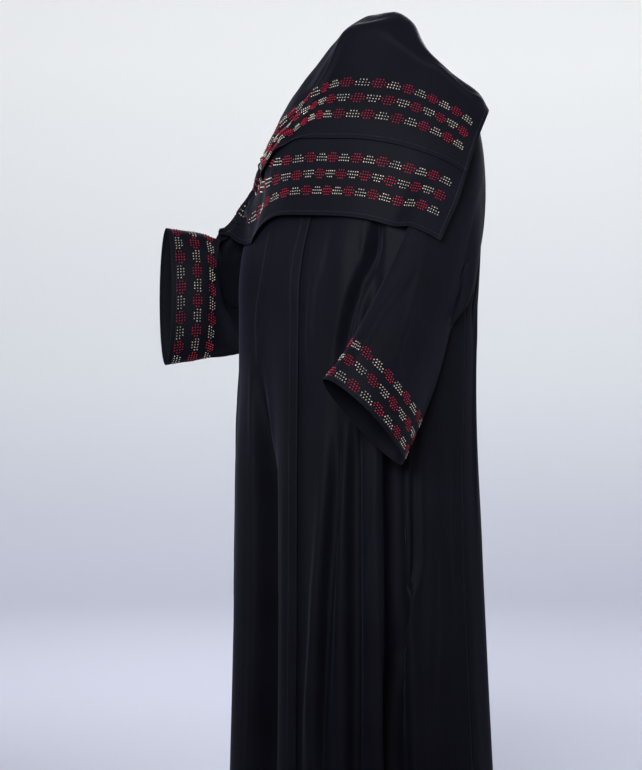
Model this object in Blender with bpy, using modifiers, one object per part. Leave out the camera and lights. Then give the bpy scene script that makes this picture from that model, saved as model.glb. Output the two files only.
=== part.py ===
"""Open-front abaya with wide sleeves and its matching veil, in the hollow form that it has when worn.

Metres, +Z up. The origin is the centre of the neck opening, at the height of the highest shoulder points.
The wearer faces -Y, and the wearer's left is +X. Every surface below is the outer face of the cloth.
"""
import math
from collections import namedtuple

import bpy
from mathutils import Matrix, Vector
from mathutils.bvhtree import BVHTree

# Cloth and seams
ROBE_WALL = 0.0015
VEIL_WALL = 0.0012
SEAM_GAP = 0.0003
REST_GAP = 0.0005                   # least space between the veil and what it lies on
REST_REACH = 0.05                   # how far in and out the veil feels for what it lies on
SIDE_TURN = math.radians(8)         # how far each panel's edge turns away from the seam between them
SHOULDER_SPARE = 0.2                # share of the wall that each panel gives up at the shoulder seam besides
ARMHOLE_SPARE = 0.2                 # the same for a sleeve at its armhole

# How the panels leave the shoulder seam and the neckline, and how full they are beside the armholes
SHOULDER_REACH = 0.09
SHOULDER_TIP_FALL = 0.060
FRONT_NECK_REACH = 0.045
FRONT_NECK_FALL = 0.085
BACK_NECK_REACH = 0.050
BACK_NECK_FALL = 0.050
CHEST_FULLNESS = 0.090
BACK_FULLNESS = 0.080
UPRIGHT_SHARE = 0.46       # share of the climb to the neckline over which a panel keeps the skirt's direction
ARMHOLE_UPRIGHT_SHARE = 0.30

# Robe, from the highest shoulder point down
ROBE_LENGTH = 1.47
UNDERARM_DROP = 0.46
SHOULDER_TIP = Vector((0.185, 0.0, -0.060))

# Neckline
NECK_HALF_WIDTH = 0.075
NECK_FRONT_DEPTH = 0.075
NECK_FRONT_DROP = 0.070
NECK_BACK_DEPTH = 0.050
NECK_BACK_DROP = 0.012
NECK_SHARE = 0.36          # share of each quarter of the girth that runs up to the neckline
BINDING_WIDTH = 0.012
BINDING_LEAN = 0.5

# Centre front: the right front laps over the left one
CLOSURE_ANGLE = 0.0        # ring angle of the upper edge, degrees towards the wearer's left
UNDERLAP_ANGLE = 12.0      # how far the lower front runs on beneath
UNDERLAP_EASE = 8.0        # angle over which the lower front dips under the upper one
LAYER_GAP = 0.0022
SNAP_ANGLE = -2.0          # ring angle of the press studs, from the closure
SNAP_RADIUS = 0.005
SNAP_THICKNESS = 0.0012
SNAP_TOP = -0.120
SNAP_SPACING = 0.150
SNAP_COUNT = 8

# Mesh density
FRONT_COLUMN_STEP = 7.5    # degrees
BACK_COLUMN_STEP = 8.2
LAP_COLUMN_STEP = 4.0
ROWS_BELOW_UNDERARM = 15
ROWS_ABOVE_UNDERARM = 12
SLEEVE_ROWS = 12
VEIL_STEP = 0.038

# Girth of the robe at each height: centre of the ring and its half sizes
Girth = namedtuple("Girth", "height centre_x centre_y half_width half_depth")
GIRTHS = (
    Girth(-0.46, -0.032, -0.047, 0.258, 0.165),
    Girth(-0.78, -0.036, -0.047, 0.256, 0.165),
    Girth(-1.10, -0.032, -0.047, 0.266, 0.171),
    Girth(-1.47, -0.028, -0.045, 0.282, 0.182),
)

# Hanging folds: ring angle (0 is the centre front, 90 the wearer's left), half its spread, how far it stands
# out (minus is a hollow), the heights where it starts and is full, and its drift in degrees a metre down
Fold = namedtuple("Fold", "angle spread rise start full drift")
FOLDS = (
    Fold(-45, 16, 0.010, -0.50, -0.80, 0),
    Fold(-20, 11, -0.013, -0.42, -0.75, 1),
    Fold(13, 8, 0.008, -0.55, -0.85, -3),
    Fold(22, 6, 0.006, -0.60, -0.90, 0),
    Fold(36, 9, 0.012, -0.52, -0.80, 1),
    Fold(45, 8, -0.018, -0.40, -0.70, 2),
    Fold(54, 7, 0.013, -0.60, -0.85, -3),
    Fold(84, 18, -0.006, -0.60, -1.00, 0),
    Fold(112, 15, 0.010, -0.55, -0.90, 2),
    Fold(134, 12, -0.013, -0.30, -0.80, -2),
    Fold(152, 12, 0.013, -0.30, -0.85, 2),
    Fold(172, 11, -0.014, -0.24, -0.80, 2),
    Fold(190, 11, 0.013, -0.26, -0.85, -1),
    Fold(209, 12, -0.013, -0.30, -0.80, 2),
    Fold(228, 13, 0.012, -0.35, -0.85, 0),
    Fold(250, 14, -0.010, -0.55, -0.90, 2),
    Fold(278, 16, -0.009, -0.60, -0.95, -2),
)

# How a sleeve leaves its armhole
SLEEVE_LEAD = 0.09         # how far the seam's direction carries into the sleeve
OVER_ARM_LEAD = 0.85       # share of the panels' own direction that the sleeve keeps over the arm

# Sleeves: for each section the points on its outer, front, inner and back lines
Section = namedtuple("Section", "outer front inner back")
LEFT_SLEEVE = (
    Section((0.222, -0.052, -0.195), (0.190, -0.135, -0.290),
            (0.238, -0.080, -0.474), (0.236, -0.036, -0.305)),
    Section((0.230, -0.165, -0.385), (0.170, -0.212, -0.420),
            (0.207, -0.158, -0.545), (0.233, -0.091, -0.465)),
    Section((0.228, -0.272, -0.550), (0.143, -0.284, -0.541),
            (0.163, -0.188, -0.620), (0.218, -0.130, -0.606)),
    Section((0.227, -0.328, -0.652), (0.125, -0.332, -0.598),
            (0.137, -0.227, -0.695), (0.211, -0.215, -0.742)),
)
RIGHT_SLEEVE = (
    Section((-0.262, -0.010, -0.170), (-0.268, -0.140, -0.305),
            (-0.303, -0.075, -0.458), (-0.275, 0.060, -0.360)),
    Section((-0.335, -0.030, -0.320), (-0.270, -0.160, -0.314),
            (-0.303, -0.120, -0.452), (-0.310, 0.000, -0.515)),
    Section((-0.358, -0.132, -0.430), (-0.314, -0.160, -0.311),
            (-0.274, -0.186, -0.435), (-0.314, -0.150, -0.552)),
    Section((-0.393, -0.209, -0.435), (-0.352, -0.232, -0.303),
            (-0.315, -0.254, -0.435), (-0.354, -0.232, -0.567)),
)

# Veil: two layers of one long cloth, folded at the back hem and laid over the neck
VEIL_LEFT = 0.305
VEIL_RIGHT = 0.455
VEIL_BACK = 0.60
UPPER_FRONT = 0.292
LOWER_FRONT = 0.440
VEIL_LAYER_STEP = 0.004    # from one layer's outer face to the next one's
VEIL_FOLD_STEP = 0.0016    # the same at the back hem, where the cloth is folded
CAP_CENTRE = Vector((0.0, -0.031, 0.087))
CAP_RADIUS = 0.0535
CAP_TILT = math.radians(20)
BEND_LENGTH = 0.05
WALK_STEP = 0.01           # step in which the veil's slope is followed from the neck outwards

# How the veil falls from the neck: direction in the flat cloth and in plan (0 is the front, plus is towards
# the wearer's left), its slope down to the shoulders, the length of that slope, the slope below it, and the
# share of the cloth's length that is left where small folds take some up
Fall = namedtuple("Fall", "cloth plan slope reach hang share")
FALLS = (
    Fall(-180, -180, 64, 0.20, 84, 1.00),
    Fall(-165, -168, 63, 0.20, 85, 1.00),
    Fall(-145, -150, 60, 0.20, 85, 0.99),
    Fall(-120, -136, 56, 0.20, 84, 0.97),
    Fall(-90, -121, 50, 0.22, 76, 0.94),
    Fall(-62, -107, 46, 0.24, 64, 0.84),
    Fall(-46, -95, 47, 0.24, 58, 0.72),
    Fall(-38, -77, 50, 0.22, 66, 0.78),
    Fall(-30, -52, 55, 0.20, 73, 0.90),
    Fall(-15, -24, 63, 0.20, 75, 0.97),
    Fall(0, 3, 68, 0.20, 75, 1.00),
    Fall(18, 38, 67, 0.20, 73, 1.00),
    Fall(32, 63, 63, 0.26, 71, 1.00),
    Fall(45, 79, 57, 0.26, 62, 1.00),
    Fall(68, 99, 46, 0.24, 66, 1.00),
    Fall(90, 115, 45, 0.20, 77, 1.00),
    Fall(120, 135, 54, 0.20, 85, 1.00),
    Fall(150, 154, 60, 0.20, 85, 1.00),
    Fall(180, 180, 64, 0.20, 84, 1.00),
)

# Folds of the veil that hangs down the back: direction in the flat cloth, half its spread in degrees, how far
# it stands out, and the distances from the middle of the cloth where it starts and is full
VeilFold = namedtuple("VeilFold", "cloth spread rise start full")
VEIL_FOLDS = (
    VeilFold(-142, 10, 0.016, 0.28, 0.60),
    VeilFold(-158, 8, -0.008, 0.26, 0.55),
    VeilFold(-172, 8, 0.014, 0.24, 0.55),
    VeilFold(174, 7, -0.009, 0.26, 0.50),
    VeilFold(162, 8, 0.015, 0.25, 0.55),
    VeilFold(148, 8, -0.007, 0.30, 0.60),
    VeilFold(-112, 12, 0.010, 0.30, 0.50),
)


def hermite(keys, values, at):
    """Smooth curve through values at rising keys, held at both ends."""
    if at <= keys[0]:
        return values[0]
    if at >= keys[-1]:
        return values[-1]
    i = max(k for k in range(len(keys) - 1) if keys[k] <= at)
    span = keys[i + 1] - keys[i]
    t = (at - keys[i]) / span

    def slope(k):
        low, high = max(k - 1, 0), min(k + 1, len(keys) - 1)
        return (values[high] - values[low]) * (1.0 / (keys[high] - keys[low]))

    start, end = slope(i) * span, slope(i + 1) * span
    return (values[i] * (2 * t**3 - 3 * t**2 + 1) + start * (t**3 - 2 * t**2 + t)
            + values[i + 1] * (3 * t**2 - 2 * t**3) + end * (t**3 - t**2))


def smoothstep(low, high, at):
    t = min(max((at - low) / (high - low), 0.0), 1.0)
    return t * t * (3 - 2 * t)


def table_value(rows, key, column, at):
    """Value of a table's column at a height or an angle, by a smooth curve through its rows."""
    ordered = sorted(rows, key=lambda row: getattr(row, key))
    keys = [getattr(row, key) for row in ordered]
    return hermite(keys, [getattr(row, column) for row in ordered], at)


def bell(angle, middle, spread):
    """Cross-section of a fold: 1 at its middle direction, 0 from its spread on, all in degrees."""
    away = (angle - middle + 180) % 360 - 180
    return 0.5 + 0.5 * math.cos(math.pi * away / spread) if abs(away) < spread else 0.0


def fold_rise(angle, height):
    """Sum of the hanging folds at a ring angle and a height."""
    rise = 0.0
    for fold in FOLDS:
        middle = fold.angle + fold.drift * (fold.start - height)
        rise += fold.rise * bell(angle, middle, fold.spread) * smoothstep(-fold.start, -fold.full, -height)
    return rise


def ring_point(angle, height, inset=0.0):
    """Point of the robe below the underarm, a little inside its outer face if inset is given."""
    centre_x, centre_y, half_width, half_depth = (
        table_value(GIRTHS, "height", column, height) for column in Girth._fields[1:])
    sine, cosine = math.sin(math.radians(angle)), math.cos(math.radians(angle))
    outward = Vector((sine / half_width, -cosine / half_depth, 0)).normalized()
    point = Vector((centre_x + half_width * sine, centre_y - half_depth * cosine, height))
    return point + outward * (fold_rise(angle, height) - inset)


def share_of_quarter(angle, side):
    """How far a ring angle is from the centre front or back to the side seam, from 0 to 1."""
    return abs(angle) / 90 if side == "front" else (180 - abs(angle)) / 90


def top_point(angle, side):
    """Point of the neckline or the shoulder seam that a ring angle runs up to."""
    share = share_of_quarter(angle, side)
    sign = 1 if angle >= 0 else -1
    if share < NECK_SHARE:
        turn = math.radians(90 * share / NECK_SHARE)
        depth, drop = ((-NECK_FRONT_DEPTH, NECK_FRONT_DROP) if side == "front"
                       else (NECK_BACK_DEPTH, NECK_BACK_DROP))
        return Vector((sign * NECK_HALF_WIDTH * math.sin(turn), depth * math.cos(turn),
                       -drop * math.cos(turn) ** 1.5))
    along = (share - NECK_SHARE) / (1 - NECK_SHARE)
    return Vector((sign * (NECK_HALF_WIDTH + (SHOULDER_TIP.x - NECK_HALF_WIDTH) * along), 0,
                   SHOULDER_TIP.z * along ** 1.3))


def top_lead(angle, side):
    """Way in which a panel leaves its neckline or shoulder seam, and how far it keeps to that way."""
    share = share_of_quarter(angle, side)
    over_shoulder = smoothstep(0.0, NECK_SHARE, share)
    front = side == "front"
    reach, drop = (FRONT_NECK_REACH, FRONT_NECK_FALL) if front else (BACK_NECK_REACH, BACK_NECK_FALL)
    reach += (SHOULDER_REACH - reach) * over_shoulder
    drop = drop * (1 - over_shoulder) + SHOULDER_TIP_FALL * share ** 4
    return Vector((0, -reach if front else reach, -drop))


def top_rise(angle, side):
    """Rise at which a panel ends, so that its inner edge stays a gap away across the shoulder seam."""
    lead = top_lead(angle, side)
    turn = -lead.z / lead.length
    return 1 - (0.5 * SEAM_GAP + ROBE_WALL * min(1.0, turn + SHOULDER_SPARE)) / (3 * lead.length)


def bodice_point(angle, rise, side, inset=0.0):
    """Point above the underarm: rise runs from 0 at the ring to 1 at the neckline or shoulder seam."""
    low = ring_point(angle, -UNDERARM_DROP, inset)
    top = top_point(angle, side)
    armhole = share_of_quarter(angle, side) ** 4
    fullness = -CHEST_FULLNESS * armhole if side == "front" else BACK_FULLNESS * armhole
    upright = UPRIGHT_SHARE + (ARMHOLE_UPRIGHT_SHARE - UPRIGHT_SHARE) * armhole
    low_handle = low + Vector((0, fullness, (top.z - low.z) * upright))
    top_handle = top + top_lead(angle, side)
    if inset:
        inward = Vector((0, inset, 0)) if side == "front" else Vector((0, -inset, 0))
        top, top_handle = top + inward, top_handle + inward
    t = rise
    return (low * (1 - t) ** 3 + low_handle * (3 * t * (1 - t) ** 2)
            + top_handle * (3 * t * t * (1 - t)) + top * t**3)


def robe_rows(angles, side, inset_at):
    """Rows of panel points, from the hem to the neckline and shoulder seam."""
    rows = []
    for j in range(ROWS_BELOW_UNDERARM):
        height = -ROBE_LENGTH + (ROBE_LENGTH - UNDERARM_DROP) * j / ROWS_BELOW_UNDERARM
        rows.append([ring_point(angle, height, inset_at(angle)) for angle in angles])
    for j in range(ROWS_ABOVE_UNDERARM + 1):
        rise = j / ROWS_ABOVE_UNDERARM
        rows.append([bodice_point(angle, rise * top_rise(angle, side), side, inset_at(angle))
                     for angle in angles])
    return rows


def cloth_material(name, colour, roughness):
    material = bpy.data.materials.new(name)
    material.use_nodes = True
    shader = material.node_tree.nodes["Principled BSDF"]
    shader.inputs["Base Color"].default_value = (*colour, 1)
    shader.inputs["Roughness"].default_value = roughness
    shader.inputs["Metallic"].default_value = 0.0
    return material


def snap_material():
    material = cloth_material("snap_metal", (0.10, 0.10, 0.11), 0.35)
    material.node_tree.nodes["Principled BSDF"].inputs["Metallic"].default_value = 1.0
    return material


def grid_faces(rows, closed, flip):
    """Corner numbers of the faces between rows of points."""
    width = len(rows[0])
    faces = []
    for j in range(len(rows) - 1):
        for i in range(width if closed else width - 1):
            k = (i + 1) % width
            corners = (j * width + i, j * width + k, (j + 1) * width + k, (j + 1) * width + i)
            faces.append(corners[::-1] if flip else corners)
    return faces


def skin(*pieces):
    """Search tree of the outer faces of several pieces, each given as rows, closed and flip."""
    points, faces = [], []
    for rows, closed, flip in pieces:
        faces += [tuple(corner + len(points) for corner in face) for face in grid_faces(rows, closed, flip)]
        points += [point for row in rows for point in row]
    return BVHTree.FromPolygons(points, faces)


def surface(name, rows, closed, wall, material, collection, flip=False):
    """Open sheet through rows of points, with its wall on the inner side."""
    mesh = bpy.data.meshes.new(name)
    mesh.from_pydata([point for row in rows for point in row], [], grid_faces(rows, closed, flip))
    mesh.shade_smooth()
    mesh.materials.append(material)
    item = bpy.data.objects.new(name, mesh)
    collection.objects.link(item)
    solidify = item.modifiers.new("wall", "SOLIDIFY")
    solidify.thickness = wall
    solidify.offset = -1
    return item


def panel_angles(first, last, fixed, step):
    """Ring angles of a panel's columns: the fixed ones, and even steps between them."""
    stops = sorted({first, last, *fixed})
    angles = [stops[0]]
    for low, high in zip(stops, stops[1:]):
        count = max(1, round((high - low) / step))
        angles += [low + (high - low) * k / count for k in range(1, count + 1)]
    return angles


def side_trim():
    """What each panel gives up at a side seam, as a ring angle, so that the inner edges stay a gap apart."""
    return math.degrees((0.5 * SEAM_GAP + ROBE_WALL * math.sin(SIDE_TURN)) / GIRTHS[0].half_depth)


def underlap_inset(angle):
    """The left front dips under the right one by a wall and the gap between the layers."""
    return (ROBE_WALL + LAYER_GAP) * (1 - smoothstep(CLOSURE_ANGLE, CLOSURE_ANGLE + UNDERLAP_EASE, angle))


def make_panels(material, collection):
    """The two fronts and the back: the ring angles of their columns, and their rows of points."""
    lap = [CLOSURE_ANGLE + LAP_COLUMN_STEP * k for k in (-3, -2, -1, 0, 1, 2)]
    neck = 90 * NECK_SHARE
    right = panel_angles(-90 + side_trim(), CLOSURE_ANGLE, (-neck, *lap[:3]), FRONT_COLUMN_STEP)
    left = panel_angles(CLOSURE_ANGLE - UNDERLAP_ANGLE, 90 - side_trim(), (*lap, neck), FRONT_COLUMN_STEP)
    rear = panel_angles(90 + side_trim(), 270 - side_trim(), (180 - neck, 180, 180 + neck), BACK_COLUMN_STEP)
    panels = {
        "front_right": right,
        "front_left": left,
        "back": [angle if angle <= 180 else angle - 360 for angle in rear],
    }
    rows = {
        "front_right": robe_rows(right, "front", lambda angle: 0.0),
        "front_left": robe_rows(left, "front", underlap_inset),
        "back": robe_rows(panels["back"], "back", lambda angle: 0.0),
    }
    for name, points in rows.items():
        surface(name, points, False, ROBE_WALL, material, collection)
    return panels, rows


Edge = namedtuple("Edge", "point outward normal tangent")


def square_to(direction, line):
    """The part of a direction that is square to a line, as a unit vector."""
    return (direction - line * direction.dot(line)).normalized()


def armhole_edge(rows, column, flip):
    """A panel's armhole edge, from the underarm up: its points, the way out of the panel, and its normal."""
    inner = 1 if column == 0 else -2
    edge = []
    for j in range(ROWS_BELOW_UNDERARM, len(rows)):
        point = rows[j][column]
        upward = (rows[min(j + 1, len(rows) - 1)][column] - rows[j - 1][column]).normalized()
        outward = square_to(point - rows[j][inner], upward)
        normal = outward.cross(upward) * (-1 if flip else 1)
        edge.append(Edge(point, outward, normal, upward))
    return edge


def armhole_ring(front, back):
    """Armhole from the shoulder tip down the front edge and up the back edge."""
    side = 1 if front[0].point.x > 0 else -1
    sideways = Vector((side, 0, 0))
    corner = (front[0].point + back[0].point) / 2 + Vector((side, 0, 1)) * SEAM_GAP
    forward = Vector((0, 1, 0))
    return [*reversed(front[1:]), Edge(corner, sideways, sideways, forward), *back[1:-1]]


def section_ring(section, count):
    """Closed section through its outer, front, inner and back points."""
    outer, front, inner, back = (Vector(point) for point in section)
    centre = (outer + front + inner + back) / 4
    ring = []
    for k in range(count):
        turn = 2 * math.pi * k / count
        across, along = math.cos(turn), math.sin(turn)
        ring.append(centre + (outer - centre if across > 0 else centre - inner) * across
                    + (front - centre if along > 0 else centre - back) * along)
    return ring


def sleeve_rows(armhole, sections):
    """Rows of a sleeve: each lengthwise line runs from the armhole through every section."""
    count = len(armhole)
    rings = [section_ring(section, count) for section in sections]
    lines = []
    for k, edge in enumerate(armhole):
        over_arm = max(0.0, math.cos(2 * math.pi * k / count)) ** 0.5
        chord = (rings[0][k] - edge.point).normalized()
        lead = chord.lerp(edge.outward, OVER_ARM_LEAD * over_arm)
        turn = min(1.0, max(0.0, -square_to(chord, edge.tangent).dot(edge.normal)) + ARMHOLE_SPARE)
        start = edge.point + edge.outward * (SEAM_GAP + ROBE_WALL * turn)
        points = [start - lead * SLEEVE_LEAD, start] + [ring[k] for ring in rings]
        points.append(points[-1] * 2 - points[-2])
        lines.append([hermite(list(range(len(points))), points, 1 + step * len(sections) / SLEEVE_ROWS)
                      for step in range(SLEEVE_ROWS + 1)])
    return [[line[j] for line in lines] for j in range(SLEEVE_ROWS + 1)]


def make_sleeves(rows, material, collection):
    left = armhole_ring(armhole_edge(rows["front_left"], -1, False), armhole_edge(rows["back"], 0, True))
    right = armhole_ring(armhole_edge(rows["front_right"], 0, True), armhole_edge(rows["back"], -1, False))
    rows["sleeve_left"] = sleeve_rows(left, LEFT_SLEEVE)
    rows["sleeve_right"] = sleeve_rows(right, RIGHT_SLEEVE)
    surface("sleeve_left", rows["sleeve_left"], True, ROBE_WALL, material, collection)
    surface("sleeve_right", rows["sleeve_right"], True, ROBE_WALL, material, collection, flip=True)


def make_binding(panels, rows, material, collection):
    """Narrow strip that stands on the neckline, open at the closure."""
    neck = 90 * NECK_SHARE
    ranges = (
        ("front_left", CLOSURE_ANGLE - LAP_COLUMN_STEP, neck - 1),
        ("back", 180 - neck, 180),
        ("back", -180, neck - 180),
        ("front_right", 1 - neck, CLOSURE_ANGLE),
    )
    edge = []
    for name, first, last in ranges:
        edge += [point for angle, point in zip(panels[name], rows[name][-1])
                 if first - 0.01 <= angle <= last + 0.01]
    foot, rim = [], []
    for point in edge:
        lean = (Vector((-point.x, -point.y, 0)).normalized() * BINDING_LEAN + Vector((0, 0, 1))).normalized()
        foot.append(point + lean * SEAM_GAP * 2)
        rim.append(point + lean * (SEAM_GAP * 2 + BINDING_WIDTH))
    surface("neck_binding", [foot, rim], False, ROBE_WALL, material, collection)


def front_height_point(angle, height, inset):
    """Point of the front at a height, below or above the underarm."""
    if height <= -UNDERARM_DROP:
        return ring_point(angle, height, inset)
    low, high = 0.0, 1.0
    for _ in range(30):
        middle = (low + high) / 2
        if bodice_point(angle, middle, "front", inset).z < height:
            low = middle
        else:
            high = middle
    return bodice_point(angle, low, "front", inset)


def make_snaps(material, collection):
    """Press studs, fastened, in the gap between the two fronts."""
    depth = ROBE_WALL + 0.5 * LAYER_GAP
    angle = CLOSURE_ANGLE + SNAP_ANGLE
    for k in range(SNAP_COUNT):
        height = SNAP_TOP - SNAP_SPACING * k
        middle = front_height_point(angle, height, depth)
        across, upward = (front_height_point(angle + turn, height + rise, depth)
                          - front_height_point(angle - turn, height - rise, depth)
                          for turn, rise in ((2.0, 0.0), (0.0, SNAP_RADIUS)))
        outward = across.cross(upward).normalized()
        bpy.ops.mesh.primitive_cylinder_add(vertices=12, radius=SNAP_RADIUS, depth=SNAP_THICKNESS)
        snap = bpy.context.object
        snap.name = f"snap_{k + 1}"
        snap.matrix_world = Matrix.Translation(middle) @ outward.to_track_quat("Z", "Y").to_matrix().to_4x4()
        snap.data.materials.append(material)
        for holder in list(snap.users_collection):
            holder.objects.unlink(snap)
        collection.objects.link(snap)


def cap_point(plan, distance):
    """Point on the flat top of the neck, which tilts forward."""
    level = Vector((math.sin(plan), -math.cos(plan), 0)) * distance
    return CAP_CENTRE + Vector((level.x, level.y * math.cos(CAP_TILT), level.y * math.sin(CAP_TILT)))


def veil_point(across, along):
    """Point of the lower layer, from its place on the cloth: across to the left and along to the back."""
    distance = math.hypot(across, along)
    cloth = math.degrees(math.atan2(across, -along))
    plan = math.radians(table_value(FALLS, "cloth", "plan", cloth))
    if distance <= CAP_RADIUS:
        return cap_point(plan, distance)
    slope, reach, hang, share = (table_value(FALLS, "cloth", column, cloth) for column in Fall._fields[2:])
    distance = CAP_RADIUS + (distance - CAP_RADIUS) * share
    out = Vector((math.sin(plan), -math.cos(plan), 0))
    point = cap_point(plan, CAP_RADIUS)
    steps = max(1, math.ceil((distance - CAP_RADIUS) / WALK_STEP))
    length = (distance - CAP_RADIUS) / steps
    for k in range(steps):
        travelled = (k + 0.5) * length
        bend = smoothstep(reach - BEND_LENGTH, reach + BEND_LENGTH, travelled)
        pitch = math.radians(slope + (hang - slope) * bend)
        point = point + (out * math.cos(pitch) - Vector((0, 0, math.sin(pitch)))) * length
    return point


def veil_outward(across, along):
    """Outward direction of the veil at a point of the cloth."""
    sideways = veil_point(across + 0.5 * VEIL_STEP, along) - veil_point(across - 0.5 * VEIL_STEP, along)
    rearwards = veil_point(across, along + 0.5 * VEIL_STEP) - veil_point(across, along - 0.5 * VEIL_STEP)
    return sideways.cross(rearwards).normalized()


def veil_fold_rise(across, along):
    """Sum of the veil's folds at a point of the cloth."""
    distance, cloth = math.hypot(across, along), math.degrees(math.atan2(across, -along))
    return sum(fold.rise * bell(cloth, fold.cloth, fold.spread) * smoothstep(fold.start, fold.full, distance)
               for fold in VEIL_FOLDS)


def resting_point(across, along, under):
    """Point of the veil, held out by the highest cloth under it and half a step round it."""
    outward = veil_outward(across, along)
    lift = veil_fold_rise(across, along)
    for i in (-1, 0, 1):
        for j in (-1, 0, 1):
            point = veil_point(across + 0.5 * VEIL_STEP * i, along + 0.5 * VEIL_STEP * j)
            distance = under.ray_cast(point + outward * REST_REACH, -outward, 2 * REST_REACH)[3]
            if distance is not None:
                lift = max(lift, REST_REACH - distance + REST_GAP + VEIL_WALL)
    return veil_point(across, along) + outward * lift


def raised(rows, lifts):
    """The same grid of points, each row of it moved out by its own lift."""
    moved = []
    for j, row in enumerate(rows):
        below, above = rows[max(j - 1, 0)], rows[min(j + 1, len(rows) - 1)]
        moved.append([])
        for i, point in enumerate(row):
            sideways = row[min(i + 1, len(row) - 1)] - row[max(i - 1, 0)]
            moved[-1].append(point + sideways.cross(above[i] - below[i]).normalized() * lifts[j])
    return moved


def make_veil(rows, material, collection):
    """Lower layer laid over the robe, and the upper one on its points, moved out, down to the back fold."""
    under = skin(*((rows[name], name.startswith("sleeve"), name == "sleeve_right") for name in rows))
    extra = round((LOWER_FRONT - UPPER_FRONT) / VEIL_STEP)
    shared = round((VEIL_BACK + UPPER_FRONT) / VEIL_STEP)
    lines = [-LOWER_FRONT + (LOWER_FRONT - UPPER_FRONT) * k / extra for k in range(extra)]
    lines += [-UPPER_FRONT + (VEIL_BACK + UPPER_FRONT) * k / shared for k in range(shared + 1)]
    columns = round((VEIL_LEFT + VEIL_RIGHT) / VEIL_STEP)
    across = [-VEIL_RIGHT + (VEIL_LEFT + VEIL_RIGHT) * k / columns for k in range(columns + 1)]
    lower = [[resting_point(u, v, under) for u in across] for v in lines]
    surface("veil_lower", lower, False, VEIL_WALL, material, collection)
    lifts = [VEIL_LAYER_STEP] * (len(lower) - 1) + [VEIL_FOLD_STEP]
    surface("veil_upper", raised(lower, lifts)[extra:], False, VEIL_WALL, material, collection)


def main():
    for item in list(bpy.data.objects):
        bpy.data.objects.remove(item)
    collection = bpy.data.collections.new("abaya")
    bpy.context.scene.collection.children.link(collection)
    cloth = cloth_material("crepe", (0.012, 0.012, 0.018), 0.6)
    panels, rows = make_panels(cloth, collection)
    make_sleeves(rows, cloth, collection)
    make_binding(panels, rows, cloth, collection)
    make_snaps(snap_material(), collection)
    make_veil(rows, cloth, collection)


main()
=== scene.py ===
"""Looks of the open-front abaya and its matching veil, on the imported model.

Metres, +Z up. The wearer faces -Y, and the wearer's left is +X. The first tables and functions repeat the form
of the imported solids. The cloth here follows their outer faces on a finer grid, with creases, hems and stitches,
and the veil is pressed in further than its solids at both shoulders.
"""
import math
from collections import namedtuple

import bpy
import numpy as np
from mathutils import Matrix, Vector
from mathutils.bvhtree import BVHTree


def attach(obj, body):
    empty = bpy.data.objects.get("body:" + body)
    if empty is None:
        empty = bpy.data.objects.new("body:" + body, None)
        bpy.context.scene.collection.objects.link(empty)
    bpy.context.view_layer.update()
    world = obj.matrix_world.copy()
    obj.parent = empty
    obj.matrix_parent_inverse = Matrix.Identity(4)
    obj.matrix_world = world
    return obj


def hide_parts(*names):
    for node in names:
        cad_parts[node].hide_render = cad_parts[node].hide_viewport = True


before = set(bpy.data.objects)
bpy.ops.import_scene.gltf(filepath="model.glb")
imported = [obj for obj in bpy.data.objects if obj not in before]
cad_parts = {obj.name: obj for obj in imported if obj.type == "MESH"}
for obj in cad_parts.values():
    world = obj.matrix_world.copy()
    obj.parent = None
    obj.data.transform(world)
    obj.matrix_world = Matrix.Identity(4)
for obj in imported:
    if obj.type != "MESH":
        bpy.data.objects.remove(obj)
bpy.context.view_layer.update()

# Cloth and seams of the solids
ROBE_WALL = 0.0015
VEIL_WALL = 0.0012
SEAM_GAP = 0.0003
REST_GAP = 0.0005
REST_REACH = 0.05
SIDE_TURN = math.radians(8)
SHOULDER_SPARE = 0.2
ARMHOLE_SPARE = 0.2

# How the panels leave the shoulder seam and the neckline, and how full they are beside the armholes
SHOULDER_REACH = 0.09
SHOULDER_TIP_FALL = 0.060
FRONT_NECK_REACH = 0.045
FRONT_NECK_FALL = 0.085
BACK_NECK_REACH = 0.050
BACK_NECK_FALL = 0.050
CHEST_FULLNESS = 0.090
BACK_FULLNESS = 0.080
UPRIGHT_SHARE = 0.46
ARMHOLE_UPRIGHT_SHARE = 0.30
ARMHOLE_POWER = 4          # how late, on its way to the armhole, a panel takes on what it has there

# Robe, from the highest shoulder point down
ROBE_LENGTH = 1.47
UNDERARM_DROP = 0.46
SHOULDER_TIP = Vector((0.185, 0.0, -0.060))

# Neckline
NECK_HALF_WIDTH = 0.075
NECK_FRONT_DEPTH = 0.075
NECK_FRONT_DROP = 0.070
NECK_BACK_DEPTH = 0.050
NECK_BACK_DROP = 0.012
NECK_SHARE = 0.36
NECK_CURVE = 1.5           # powers that bend the neckline and the shoulder line
SHOULDER_CURVE = 1.3
BINDING_WIDTH = 0.012
BINDING_LEAN = 0.5

# Centre front: the right front laps over the left one
CLOSURE_ANGLE = 0.0
UNDERLAP_ANGLE = 12.0
UNDERLAP_EASE = 8.0
LAYER_GAP = 0.0022

# Density of the solids' grids
FRONT_COLUMN_STEP = 7.5
BACK_COLUMN_STEP = 8.2
LAP_COLUMN_STEP = 4.0
ROWS_BELOW_UNDERARM = 15
ROWS_ABOVE_UNDERARM = 12
SLEEVE_ROWS = 12
VEIL_STEP = 0.038

# Girth of the robe at each height: centre of the ring and its half sizes
Girth = namedtuple("Girth", "height centre_x centre_y half_width half_depth")
GIRTHS = (
    Girth(-0.46, -0.032, -0.047, 0.258, 0.165),
    Girth(-0.78, -0.036, -0.047, 0.256, 0.165),
    Girth(-1.10, -0.032, -0.047, 0.266, 0.171),
    Girth(-1.47, -0.028, -0.045, 0.282, 0.182),
)

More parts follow.
